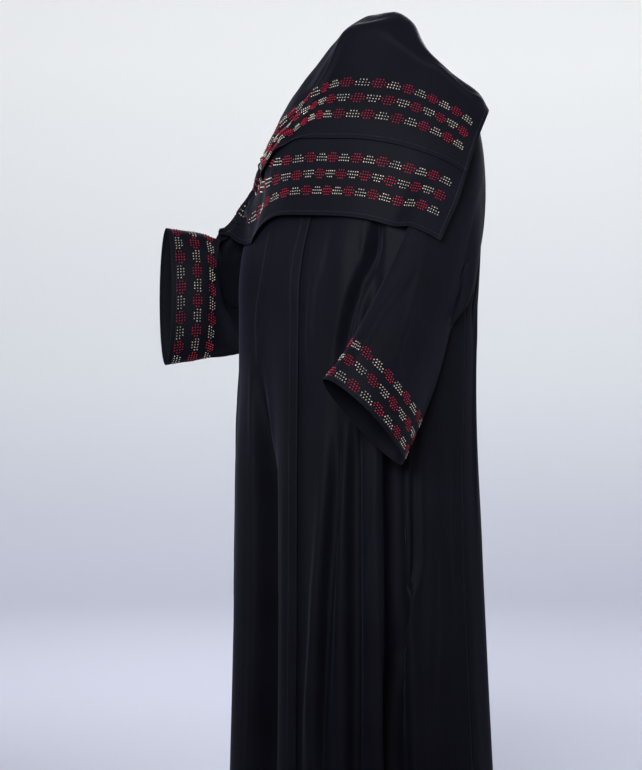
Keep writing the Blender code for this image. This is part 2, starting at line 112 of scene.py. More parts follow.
# Hanging folds: ring angle (0 is the centre front, 90 the wearer's left), half its spread, how far it stands
# out (minus is a hollow), the heights where it starts and is full, and its drift in degrees a metre down
Fold = namedtuple("Fold", "angle spread rise start full drift")
FOLDS = (
    Fold(-45, 16, 0.010, -0.50, -0.80, 0),
    Fold(-22, 16, -0.018, -0.42, -0.75, 1),
    Fold(13, 8, 0.008, -0.55, -0.85, -3),
    Fold(22, 6, 0.006, -0.60, -0.90, 0),
    Fold(36, 9, 0.012, -0.52, -0.80, 1),
    Fold(45, 8, -0.018, -0.40, -0.70, 2),
    Fold(54, 7, 0.013, -0.60, -0.85, -3),
    Fold(84, 18, -0.006, -0.60, -1.00, 0),
    Fold(112, 15, 0.010, -0.55, -0.90, 2),
    Fold(134, 12, -0.013, -0.30, -0.80, -2),
    Fold(152, 12, 0.013, -0.30, -0.85, 2),
    Fold(172, 11, -0.014, -0.24, -0.80, 2),
    Fold(190, 11, 0.013, -0.26, -0.85, -1),
    Fold(209, 12, -0.013, -0.30, -0.80, 2),
    Fold(228, 13, 0.012, -0.35, -0.85, 0),
    Fold(250, 14, -0.010, -0.55, -0.90, 2),
    Fold(278, 16, -0.009, -0.60, -0.95, -2),
)

# How a sleeve leaves its armhole
SLEEVE_LEAD = 0.09
OVER_ARM_LEAD = 0.85

# Sleeves: for each section the points on its outer, front, inner and back lines
Section = namedtuple("Section", "outer front inner back")
LEFT_SLEEVE = (
    Section((0.222, -0.052, -0.195), (0.190, -0.135, -0.290),
            (0.238, -0.080, -0.474), (0.236, -0.036, -0.305)),
    Section((0.230, -0.165, -0.385), (0.170, -0.212, -0.420),
            (0.207, -0.158, -0.545), (0.233, -0.091, -0.465)),
    Section((0.228, -0.272, -0.550), (0.143, -0.284, -0.541),
            (0.163, -0.188, -0.620), (0.218, -0.130, -0.606)),
    Section((0.227, -0.328, -0.652), (0.125, -0.332, -0.598),
            (0.137, -0.227, -0.695), (0.211, -0.215, -0.742)),
)
RIGHT_SLEEVE = (
    Section((-0.262, -0.010, -0.170), (-0.268, -0.140, -0.305),
            (-0.303, -0.075, -0.458), (-0.275, 0.060, -0.360)),
    Section((-0.335, -0.030, -0.320), (-0.270, -0.160, -0.314),
            (-0.303, -0.120, -0.452), (-0.310, 0.000, -0.515)),
    Section((-0.358, -0.132, -0.430), (-0.314, -0.160, -0.311),
            (-0.274, -0.186, -0.435), (-0.314, -0.150, -0.552)),
    Section((-0.393, -0.209, -0.435), (-0.352, -0.232, -0.303),
            (-0.315, -0.254, -0.435), (-0.354, -0.232, -0.567)),
)

# Veil: two layers of one long cloth, folded at the back hem and laid over the neck
VEIL_LEFT = 0.305
VEIL_RIGHT = 0.455
VEIL_BACK = 0.60
UPPER_FRONT = 0.292
LOWER_FRONT = 0.440
VEIL_LAYER_STEP = 0.004
VEIL_FOLD_STEP = 0.0016
CAP_CENTRE = Vector((0.0, -0.031, 0.087))
CAP_RADIUS = 0.0535
CAP_TILT = math.radians(20)
BEND_LENGTH = 0.05
WALK_STEP = 0.01

# How the veil falls from the neck: direction in the flat cloth and in plan (0 is the front, plus is towards
# the wearer's left), its slope down to the shoulders, the length of that slope, the slope below it, and the
# share of the cloth's length that is left where small folds take some up
Fall = namedtuple("Fall", "cloth plan slope reach hang share")
FALLS = (
    Fall(-180, -180, 64, 0.20, 84, 1.00),
    Fall(-165, -168, 63, 0.20, 85, 1.00),
    Fall(-145, -150, 60, 0.20, 85, 0.99),
    Fall(-120, -136, 56, 0.20, 84, 0.97),
    Fall(-90, -121, 50, 0.22, 76, 0.94),
    Fall(-62, -107, 46, 0.24, 64, 0.84),
    Fall(-46, -95, 47, 0.24, 58, 0.72),
    Fall(-38, -77, 50, 0.22, 66, 0.78),
    Fall(-30, -52, 55, 0.20, 73, 0.90),
    Fall(-15, -24, 63, 0.20, 75, 0.97),
    Fall(0, 3, 68, 0.20, 75, 1.00),
    Fall(18, 38, 67, 0.20, 73, 1.00),
    Fall(32, 63, 63, 0.26, 71, 1.00),
    Fall(45, 79, 57, 0.26, 62, 1.00),
    Fall(68, 99, 46, 0.24, 66, 1.00),
    Fall(90, 115, 45, 0.20, 77, 1.00),
    Fall(120, 135, 54, 0.20, 85, 1.00),
    Fall(150, 154, 60, 0.20, 85, 1.00),
    Fall(180, 180, 64, 0.20, 84, 1.00),
)

# Folds of the veil that hangs down the back: direction in the flat cloth, half its spread in degrees, how far
# it stands out, and the distances from the middle of the cloth where it starts and is full
VeilFold = namedtuple("VeilFold", "cloth spread rise start full")
VEIL_FOLDS = (
    VeilFold(-142, 10, 0.016, 0.28, 0.60),
    VeilFold(-158, 8, -0.008, 0.26, 0.55),
    VeilFold(-172, 8, 0.014, 0.24, 0.55),
    VeilFold(174, 7, -0.009, 0.26, 0.50),
    VeilFold(162, 8, 0.015, 0.25, 0.55),
    VeilFold(148, 8, -0.007, 0.30, 0.60),
    VeilFold(-112, 12, 0.010, 0.30, 0.50),
)

# Finer grids of the cloth that shows
ROBE_COLUMN_STEP = 1.25    # degrees
FINE_ROWS_BELOW = 100
FINE_ROWS_ABOVE = 56
SLEEVE_TIMES_ROUND = 5     # fine columns to each column of the solid
SLEEVE_FINE_STEP = 0.0065
VEIL_FINE_STEP = 0.0048
VEIL_ROW_STEP = 0.0032     # along the upper layer's bands of stones
BAND_END = -0.15           # where these closer rows end, along the cloth
CUFF_ROWS = (0.002, 0.007, 0.009, 0.011)           # extra rows at a cuff's hem
VEIL_EDGE_ROWS = (0.0012, 0.0065, 0.008, 0.0095)   # extra rows and columns at the veil's hems
EDGE_CLEAR = 0.4           # share of a step left free beside extra rows
CREASE_STEPS = 6           # straight steps to each part of a crease's path
ROBE_RADIUS = 0.21         # by which creases turn angles into metres
SLEEVE_RADIUS = 0.09
ROBE_METRES_A_DEGREE = math.radians(1) * ROBE_RADIUS
SLEEVE_METRES_A_DEGREE = math.radians(1) * SLEEVE_RADIUS
CLOTH_THICKNESS = 0.0009
VEIL_EASE = 9              # times that the veil's form is eased
LIFT_EASE = 3              # times that what brings it clear is eased
PRESS_REACH = 0.08         # how deep a press may bury the veil and it is still brought clear
LEAST_CLEARANCE = 0.0016   # between the veil and the fine cloth under it

# Hems and stitching
VEIL_HEM = 0.008
CUFF_HEM = 0.009
ROBE_HEM = 0.025
PLACKET_WIDTH = 0.017
HEM_RISE = 0.0005
STITCH_PITCH = 0.0032
STITCH_LENGTH = 0.0024
STITCH_RADIUS = 0.00024

# Bands of set stones: rows of clear and red clusters in turn. A clear one has two lines of five stones and one of
# three, a red one two of five between two of three.
STONE_RADIUS = 0.00125
STONE_HEIGHT = 0.0011
STONE_SIDES = 8
GIRDLE_SHARE = 0.25        # of the height
TABLE_SHARE = 0.58         # of the radius
STONE_PITCH = 0.0055       # between stones along a line
LINE_PITCH = 0.0057        # between the three lines of a clear cluster
RED_LINE_PITCH = 0.0052    # between the four lines of a red one
CLUSTER_PITCH = 0.0285     # between clusters along a row
ROW_PITCH = 0.032
VEIL_FIRST_ROW = 0.048     # from the hem to the middle of the first row
CUFF_FIRST_ROW = 0.018
VEIL_STONE_MARGIN = 0.016  # from the side edges

# Binding: its rows, as shares of its width
BINDING_ROWS = (0.0, 0.06, 0.5, 0.94, 1.0)

# Camera and stage
IMAGE_HEIGHT_PX = 770
PIXELS_PER_METRE = 525
CAMERA_AZIMUTH = math.radians(40)
CAMERA_DISTANCE = 3.6
CAMERA_TARGET = Vector((-0.0919, -0.0772, -0.6057))
SENSOR = 36.0
FLOOR_HEIGHT = -1.50
FLOOR_RADIUS = 4.2
WALL_BEND = 3.0
WALL_HEIGHT = 2.5          # above the bend
WALL_SIDES = 96
# Backdrop colour by height, from the floor up: darker and bluer low down, painted shade of the lower stage
STAGE_PAINTED_SHADE = ((0.0, (0.53, 0.55, 0.66)), (0.9, (0.90, 0.91, 0.90)), (0.29, (0.70, 0.725, 0.77)))
GARMENT_MIDDLE = -0.70

# Soft lights. A place or an aim is an azimuth, a distance and a height round the garment's middle.
Light = namedtuple("Light", "name place size power aim spread")
LIGHTS = (
    Light("key", (24, 2.5, 1.0), (1.2, 1.2), 19, (0, 0, 0.5), 62),
    Light("side", (-70, 3.0, 0.6), (0.8, 1.8), 8, (0, 0, 0.3), 180),
    Light("rear", (205, 2.6, 1.7), (1.2, 1.2), 10, (0, 0, 0.3), 55),
    Light("fill", (100, 2.8, 1.0), (1.2, 1.6), 20, (0, 0, 0.3), 180),
    Light("wall", (150, 1.5, 2.6), (2.0, 1.0), 124, (210, 7.0, 1.4), 180),
    Light("wall", (285, 1.5, 2.6), (2.0, 1.0), 132, (235, 7.0, 1.4), 180),
)


def hermite(keys, values, at):
    """Smooth curve through values at rising keys, held at both ends."""
    if at <= keys[0]:
        return values[0]
    if at >= keys[-1]:
        return values[-1]
    i = max(k for k in range(len(keys) - 1) if keys[k] <= at)
    span = keys[i + 1] - keys[i]
    t = (at - keys[i]) / span

    def slope(k):
        low, high = max(k - 1, 0), min(k + 1, len(keys) - 1)
        return (values[high] - values[low]) * (1.0 / (keys[high] - keys[low]))

    start, end = slope(i) * span, slope(i + 1) * span
    return (values[i] * (2 * t**3 - 3 * t**2 + 1) + start * (t**3 - 2 * t**2 + t)
            + values[i + 1] * (3 * t**2 - 2 * t**3) + end * (t**3 - t**2))


def smoothstep(low, high, at):
    """Smooth rise from 0 at low to 1 at high, for a number or an array."""
    t = np.clip((at - low) / (high - low), 0.0, 1.0)
    return t * t * (3 - 2 * t)


def table_value(rows, key, column, at):
    """Value of a table's column at a height or an angle, by a smooth curve through its rows."""
    ordered = sorted(rows, key=lambda row: getattr(row, key))
    keys = [getattr(row, key) for row in ordered]
    return hermite(keys, [getattr(row, column) for row in ordered], at)


def bell(angle, middle, spread):
    """Cross-section of a fold: 1 at its middle direction, 0 from its spread on, all in degrees."""
    away = (angle - middle + 180) % 360 - 180
    return 0.5 + 0.5 * math.cos(math.pi * away / spread) if abs(away) < spread else 0.0


def fold_rise(angle, height):
    """Sum of the hanging folds at a ring angle and a height."""
    rise = 0.0
    for fold in FOLDS:
        middle = fold.angle + fold.drift * (fold.start - height)
        rise += fold.rise * bell(angle, middle, fold.spread) * float(smoothstep(-fold.start, -fold.full, -height))
    return rise


def ring_point(angle, height, inset=0.0):
    """Point of the robe below the underarm, a little inside its outer face if inset is given."""
    centre_x, centre_y, half_width, half_depth = (
        table_value(GIRTHS, "height", column, height) for column in Girth._fields[1:])
    sine, cosine = math.sin(math.radians(angle)), math.cos(math.radians(angle))
    outward = Vector((sine / half_width, -cosine / half_depth, 0)).normalized()
    point = Vector((centre_x + half_width * sine, centre_y - half_depth * cosine, height))
    return point + outward * (fold_rise(angle, height) - inset)


def share_of_quarter(angle, side):
    """How far a ring angle is from the centre front or back to the side seam, from 0 to 1."""
    return abs(angle) / 90 if side == "front" else (180 - abs(angle)) / 90


def top_point(angle, side):
    """Point of the neckline or the shoulder seam that a ring angle runs up to."""
    share = share_of_quarter(angle, side)
    sign = 1 if angle >= 0 else -1
    if share < NECK_SHARE:
        turn = math.radians(90 * share / NECK_SHARE)
        depth, drop = ((-NECK_FRONT_DEPTH, NECK_FRONT_DROP) if side == "front"
                       else (NECK_BACK_DEPTH, NECK_BACK_DROP))
        return Vector((sign * NECK_HALF_WIDTH * math.sin(turn), depth * math.cos(turn),
                       -drop * math.cos(turn) ** NECK_CURVE))
    along = (share - NECK_SHARE) / (1 - NECK_SHARE)
    return Vector((sign * (NECK_HALF_WIDTH + (SHOULDER_TIP.x - NECK_HALF_WIDTH) * along), 0,
                   SHOULDER_TIP.z * along ** SHOULDER_CURVE))


def top_lead(angle, side):
    """Way in which a panel leaves its neckline or shoulder seam, and how far it keeps to that way."""
    share = share_of_quarter(angle, side)
    over_shoulder = float(smoothstep(0.0, NECK_SHARE, share))
    front = side == "front"
    reach, drop = (FRONT_NECK_REACH, FRONT_NECK_FALL) if front else (BACK_NECK_REACH, BACK_NECK_FALL)
    reach += (SHOULDER_REACH - reach) * over_shoulder
    drop = drop * (1 - over_shoulder) + SHOULDER_TIP_FALL * share ** ARMHOLE_POWER
    return Vector((0, -reach if front else reach, -drop))


def top_rise(angle, side):
    """Rise at which a panel ends, so that its inner edge stays a gap away across the shoulder seam."""
    lead = top_lead(angle, side)
    turn = -lead.z / lead.length
    return 1 - (0.5 * SEAM_GAP + ROBE_WALL * min(1.0, turn + SHOULDER_SPARE)) / (3 * lead.length)


def bodice_point(angle, rise, side, inset=0.0):
    """Point above the underarm: rise runs from 0 at the ring to 1 at the neckline or shoulder seam."""
    low = ring_point(angle, -UNDERARM_DROP, inset)
    top = top_point(angle, side)
    armhole = share_of_quarter(angle, side) ** ARMHOLE_POWER
    fullness = -CHEST_FULLNESS * armhole if side == "front" else BACK_FULLNESS * armhole
    upright = UPRIGHT_SHARE + (ARMHOLE_UPRIGHT_SHARE - UPRIGHT_SHARE) * armhole
    low_handle = low + Vector((0, fullness, (top.z - low.z) * upright))
    top_handle = top + top_lead(angle, side)
    if inset:
        inward = Vector((0, inset, 0)) if side == "front" else Vector((0, -inset, 0))
        top, top_handle = top + inward, top_handle + inward
    t = rise
    return (low * (1 - t) ** 3 + low_handle * (3 * t * (1 - t) ** 2)
            + top_handle * (3 * t * t * (1 - t)) + top * t**3)


def robe_rows(angles, side, inset_at, rows_below=ROWS_BELOW_UNDERARM, rows_above=ROWS_ABOVE_UNDERARM):
    """Rows of panel points, from the hem to the neckline and shoulder seam."""
    rows = []
    for j in range(rows_below):
        height = -ROBE_LENGTH + (ROBE_LENGTH - UNDERARM_DROP) * j / rows_below
        rows.append([ring_point(angle, height, inset_at(angle)) for angle in angles])
    for j in range(rows_above + 1):
        rise = j / rows_above
        rows.append([bodice_point(angle, rise * top_rise(angle, side), side, inset_at(angle))
                     for angle in angles])
    return rows


def grid_faces(rows, columns, closed, flip):
    """Corner numbers of the faces between rows of points."""
    faces = []
    for j in range(rows - 1):
        for i in range(columns if closed else columns - 1):
            k = (i + 1) % columns
            corners = (j * columns + i, j * columns + k, (j + 1) * columns + k, (j + 1) * columns + i)
            faces.append(corners[::-1] if flip else corners)
    return faces


def skin(*pieces):
    """Search tree of the outer faces of several pieces, each given as rows, closed and flip."""
    points, faces = [], []
    for rows, closed, flip in pieces:
        numbered = grid_faces(len(rows), len(rows[0]), closed, flip)
        faces += [tuple(corner + len(points) for corner in face) for face in numbered]
        points += [Vector(point) for row in rows for point in row]
    return BVHTree.FromPolygons(points, faces)


def panel_angles(first, last, fixed, step):
    """Ring angles of a panel's columns: the fixed ones, and even steps between them."""
    stops = sorted({first, last, *fixed})
    angles = [stops[0]]
    for low, high in zip(stops, stops[1:]):
        count = max(1, round((high - low) / step))
        angles += [low + (high - low) * k / count for k in range(1, count + 1)]
    return angles


def side_trim():
    """What each panel gives up at a side seam, as a ring angle, so that the inner edges stay a gap apart."""
    return math.degrees((0.5 * SEAM_GAP + ROBE_WALL * math.sin(SIDE_TURN)) / GIRTHS[0].half_depth)


def underlap_inset(angle):
    """The left front dips under the right one by a wall and the gap between the layers."""
    return (ROBE_WALL + LAYER_GAP) * float(1 - smoothstep(CLOSURE_ANGLE, CLOSURE_ANGLE + UNDERLAP_EASE, angle))


def panel_grids(front_step, back_step, *density):
    """Ring angles and rows of points of the two fronts and the back."""
    lap = [CLOSURE_ANGLE + LAP_COLUMN_STEP * k for k in (-3, -2, -1, 0, 1, 2)]
    neck = 90 * NECK_SHARE
    right = panel_angles(-90 + side_trim(), CLOSURE_ANGLE, (-neck, *lap[:3]), front_step)
    left = panel_angles(CLOSURE_ANGLE - UNDERLAP_ANGLE, 90 - side_trim(), (*lap, neck), front_step)
    rear = panel_angles(90 + side_trim(), 270 - side_trim(), (180 - neck, 180, 180 + neck), back_step)
    panels = {
        "front_right": right,
        "front_left": left,
        "back": [angle if angle <= 180 else angle - 360 for angle in rear],
    }
    rows = {
        "front_right": robe_rows(right, "front", lambda angle: 0.0, *density),
        "front_left": robe_rows(left, "front", underlap_inset, *density),
        "back": robe_rows(panels["back"], "back", lambda angle: 0.0, *density),
    }
    return panels, rows


Edge = namedtuple("Edge", "point outward normal tangent")


def square_to(direction, line):
    """The part of a direction that is square to a line, as a unit vector."""
    return (direction - line * direction.dot(line)).normalized()


def armhole_edge(rows, column, flip):
    """A panel's armhole edge, from the underarm up: its points, the way out of the panel, and its normal."""
    inner = 1 if column == 0 else -2
    edge = []
    for j in range(ROWS_BELOW_UNDERARM, len(rows)):
        point = rows[j][column]
        upward = (rows[min(j + 1, len(rows) - 1)][column] - rows[j - 1][column]).normalized()
        outward = square_to(point - rows[j][inner], upward)
        normal = outward.cross(upward) * (-1 if flip else 1)
        edge.append(Edge(point, outward, normal, upward))
    return edge


def armhole_ring(front, back):
    """Armhole from the shoulder tip down the front edge and up the back edge."""
    side = 1 if front[0].point.x > 0 else -1
    sideways = Vector((side, 0, 0))
    corner = (front[0].point + back[0].point) / 2 + Vector((side, 0, 1)) * SEAM_GAP
    forward = Vector((0, 1, 0))
    return [*reversed(front[1:]), Edge(corner, sideways, sideways, forward), *back[1:-1]]


def section_ring(section, count):
    """Closed section through its outer, front, inner and back points."""
    outer, front, inner, back = (Vector(point) for point in section)
    centre = (outer + front + inner + back) / 4
    ring = []
    for k in range(count):
        turn = 2 * math.pi * k / count
        across, along = math.cos(turn), math.sin(turn)
        ring.append(centre + (outer - centre if across > 0 else centre - inner) * across
                    + (front - centre if along > 0 else centre - back) * along)
    return ring


def sleeve_rows(armhole, sections):
    """Rows of a sleeve: each lengthwise line runs from the armhole through every section."""
    count = len(armhole)
    rings = [section_ring(section, count) for section in sections]
    lines = []
    for k, edge in enumerate(armhole):
        over_arm = max(0.0, math.cos(2 * math.pi * k / count)) ** 0.5
        chord = (rings[0][k] - edge.point).normalized()
        lead = chord.lerp(edge.outward, OVER_ARM_LEAD * over_arm)
        turn = min(1.0, max(0.0, -square_to(chord, edge.tangent).dot(edge.normal)) + ARMHOLE_SPARE)
        start = edge.point + edge.outward * (SEAM_GAP + ROBE_WALL * turn)
        points = [start - lead * SLEEVE_LEAD, start] + [ring[k] for ring in rings]
        points.append(points[-1] * 2 - points[-2])
        lines.append([hermite(list(range(len(points))), points, 1 + step * len(sections) / SLEEVE_ROWS)
                      for step in range(SLEEVE_ROWS + 1)])
    return [[line[j] for line in lines] for j in range(SLEEVE_ROWS + 1)]


def cap_point(plan, distance):
    """Point on the flat top of the neck, which tilts forward."""
    level = Vector((math.sin(plan), -math.cos(plan), 0)) * distance
    return CAP_CENTRE + Vector((level.x, level.y * math.cos(CAP_TILT), level.y * math.sin(CAP_TILT)))


def veil_point(across, along):
    """Point of the lower layer, from its place on the cloth: across to the left and along to the back."""
    distance = math.hypot(across, along)
    cloth = math.degrees(math.atan2(across, -along))
    plan = math.radians(table_value(FALLS, "cloth", "plan", cloth))
    if distance <= CAP_RADIUS:
        return cap_point(plan, distance)
    slope, reach, hang, share = (table_value(FALLS, "cloth", column, cloth) for column in Fall._fields[2:])
    distance = CAP_RADIUS + (distance - CAP_RADIUS) * share
    out = Vector((math.sin(plan), -math.cos(plan), 0))
    point = cap_point(plan, CAP_RADIUS)
    steps = max(1, math.ceil((distance - CAP_RADIUS) / WALK_STEP))
    length = (distance - CAP_RADIUS) / steps
    for k in range(steps):
        travelled = (k + 0.5) * length
        bend = float(smoothstep(reach - BEND_LENGTH, reach + BEND_LENGTH, travelled))
        pitch = math.radians(slope + (hang - slope) * bend)
        point = point + (out * math.cos(pitch) - Vector((0, 0, math.sin(pitch)))) * length
    return point


def veil_outward(across, along):
    """Outward direction of the veil at a point of the cloth."""
    sideways = veil_point(across + 0.5 * VEIL_STEP, along) - veil_point(across - 0.5 * VEIL_STEP, along)
    rearwards = veil_point(across, along + 0.5 * VEIL_STEP) - veil_point(across, along - 0.5 * VEIL_STEP)
    return sideways.cross(rearwards).normalized()


def veil_fold_rise(across, along):
    """Sum of the veil's folds at a point of the cloth."""
    distance, cloth = math.hypot(across, along), math.degrees(math.atan2(across, -along))
    return sum(fold.rise * bell(cloth, fold.cloth, fold.spread) * float(smoothstep(fold.start, fold.full, distance))
               for fold in VEIL_FOLDS)


def resting_point(across, along, under):
    """Point of the veil, held out by the highest cloth under it and half a step round it."""
    outward = veil_outward(across, along)
    lift = veil_fold_rise(across, along)
    for i in (-1, 0, 1):
        for j in (-1, 0, 1):
            point = veil_point(across + 0.5 * VEIL_STEP * i, along + 0.5 * VEIL_STEP * j)
            distance = under.ray_cast(point + outward * REST_REACH, -outward, 2 * REST_REACH)[3]
            if distance is not None:
                lift = max(lift, REST_REACH - distance + REST_GAP + VEIL_WALL)
    return veil_point(across, along) + outward * lift


def veil_lines():
    """Distances along the cloth of the veil's rows, from the lower front hem to the back."""
    extra = round((LOWER_FRONT - UPPER_FRONT) / VEIL_STEP)
    shared = round((VEIL_BACK + UPPER_FRONT) / VEIL_STEP)
    lines = [-LOWER_FRONT + (LOWER_FRONT - UPPER_FRONT) * k / extra for k in range(extra)]
    return lines + [-UPPER_FRONT + (VEIL_BACK + UPPER_FRONT) * k / shared for k in range(shared + 1)]


def veil_columns():
    """Distances across the cloth of the veil's columns."""
    columns = round((VEIL_LEFT + VEIL_RIGHT) / VEIL_STEP)
    return [-VEIL_RIGHT + (VEIL_LEFT + VEIL_RIGHT) * k / columns for k in range(columns + 1)]


class Cloth:
    """Grid of points of one cloth's outer face, with the coordinates that its creases and stones use."""

    def __init__(self, points, across, along, closed=False, flip=False):
        self.points = np.array(points, float)
        self.across = np.array(across, float)
        self.along = np.array(along, float)
        self.closed = closed
        self.flip = flip

    def normals(self):
        """Outward unit normals at the grid's points."""
        points = self.points
        if self.closed:
            sideways = np.roll(points, -1, axis=1) - np.roll(points, 1, axis=1)
        else:
            sideways = np.gradient(points, axis=1)
        lengthwise = np.gradient(points, axis=0)
        normal = np.cross(sideways, lengthwise)
        if self.flip:
            normal = -normal
        return normal / np.maximum(np.linalg.norm(normal, axis=2, keepdims=True), 1e-12)

    def move_out(self, rise):
        """Moves the points out along their normals."""
        self.points += self.normals() * rise[..., None]

    def keep_normals(self):
        """Stores the normals for the calls of at()."""
        self.normals_kept = self.normals()

    def at(self, row, column):
        """Point, outward normal and direction along the row at fractional places of the grid."""
        height, width = self.points.shape[:2]
        j, i = min(int(row), height - 2), int(column)
        s, t = row - j, column - i
        i, k = (i % width, (i + 1) % width) if self.closed else (min(i, width - 2), min(i, width - 2) + 1)
        weights = ((j, i, (1 - s) * (1 - t)), (j, k, (1 - s) * t), (j + 1, i, s * (1 - t)), (j + 1, k, s * t))
        point = sum(self.points[a, b] * weight for a, b, weight in weights)
        normal = sum(self.normals_kept[a, b] * weight for a, b, weight in weights)
        direction = self.points[j, k] - self.points[j, i]
        return Vector(point), Vector(normal).normalized(), Vector(direction).normalized()


def curve_between(before, start, end, after, t):
    """Smooth curve from start to end, whose ways at both depend on the values beyond them."""
    return start + 0.5 * t * (end - before + t * (2 * before - 5 * start + 4 * end - after
                                                  + t * (3 * (start - end) + after - before)))


def cubic(values, places, axis, closed=False):
    """Values along one axis of a grid at fractional places, on smooth curves through the given ones."""
    values = np.moveaxis(np.asarray(values, float), axis, 0)
    count = len(values)
    places = np.asarray(places, float)
    low = np.floor(places).astype(int)
    if not closed:
        low, values = np.clip(low, 0, count - 2), with_ends(values)
    t = (places - low).reshape((-1,) + (1,) * (values.ndim - 1))
    four = (values[(low + k) % count] if closed else values[low + k + 1] for k in (-1, 0, 1, 2))
    return np.moveaxis(curve_between(*four, t), 0, axis)


def steps_with_edges(low, high, step, edge, far_edge=True):
    """Even steps from low to high, with closer ones at the given distances from the edges."""
    count = max(2, round((high - low) / step))
    places = [low + (high - low) * k / count for k in range(count + 1)]
    clear = edge[-1] + EDGE_CLEAR * step if edge else 0.0
    places = [low, *(low + e for e in edge), *(p for p in places if p > low + clear)]
    if far_edge:
        places = [p for p in places if p < high - clear] + [high - e for e in reversed(edge)] + [high]
    return np.array(places)


# Creases: soft ridges, or troughs where rise is minus, along a path of places on the cloth. On the robe a place
# is a ring angle and a height, on a sleeve the angle round it (0 over the arm, plus to the front, and past 180
# where the path crosses the underarm line) and the distance from the cuff, and on the veil the distances across
# and along its form. spread is half the crease's width, sharp narrows its top, and ends is the share of the path
# over which it fades in and out.
Crease = namedtuple("Crease", "spread rise sharp ends path")


def as_creases(*rows):
    """Creases from rows of spread, rise, sharp, ends and the places of the path."""
    return [Crease(*row[:4], row[4:]) for row in rows]


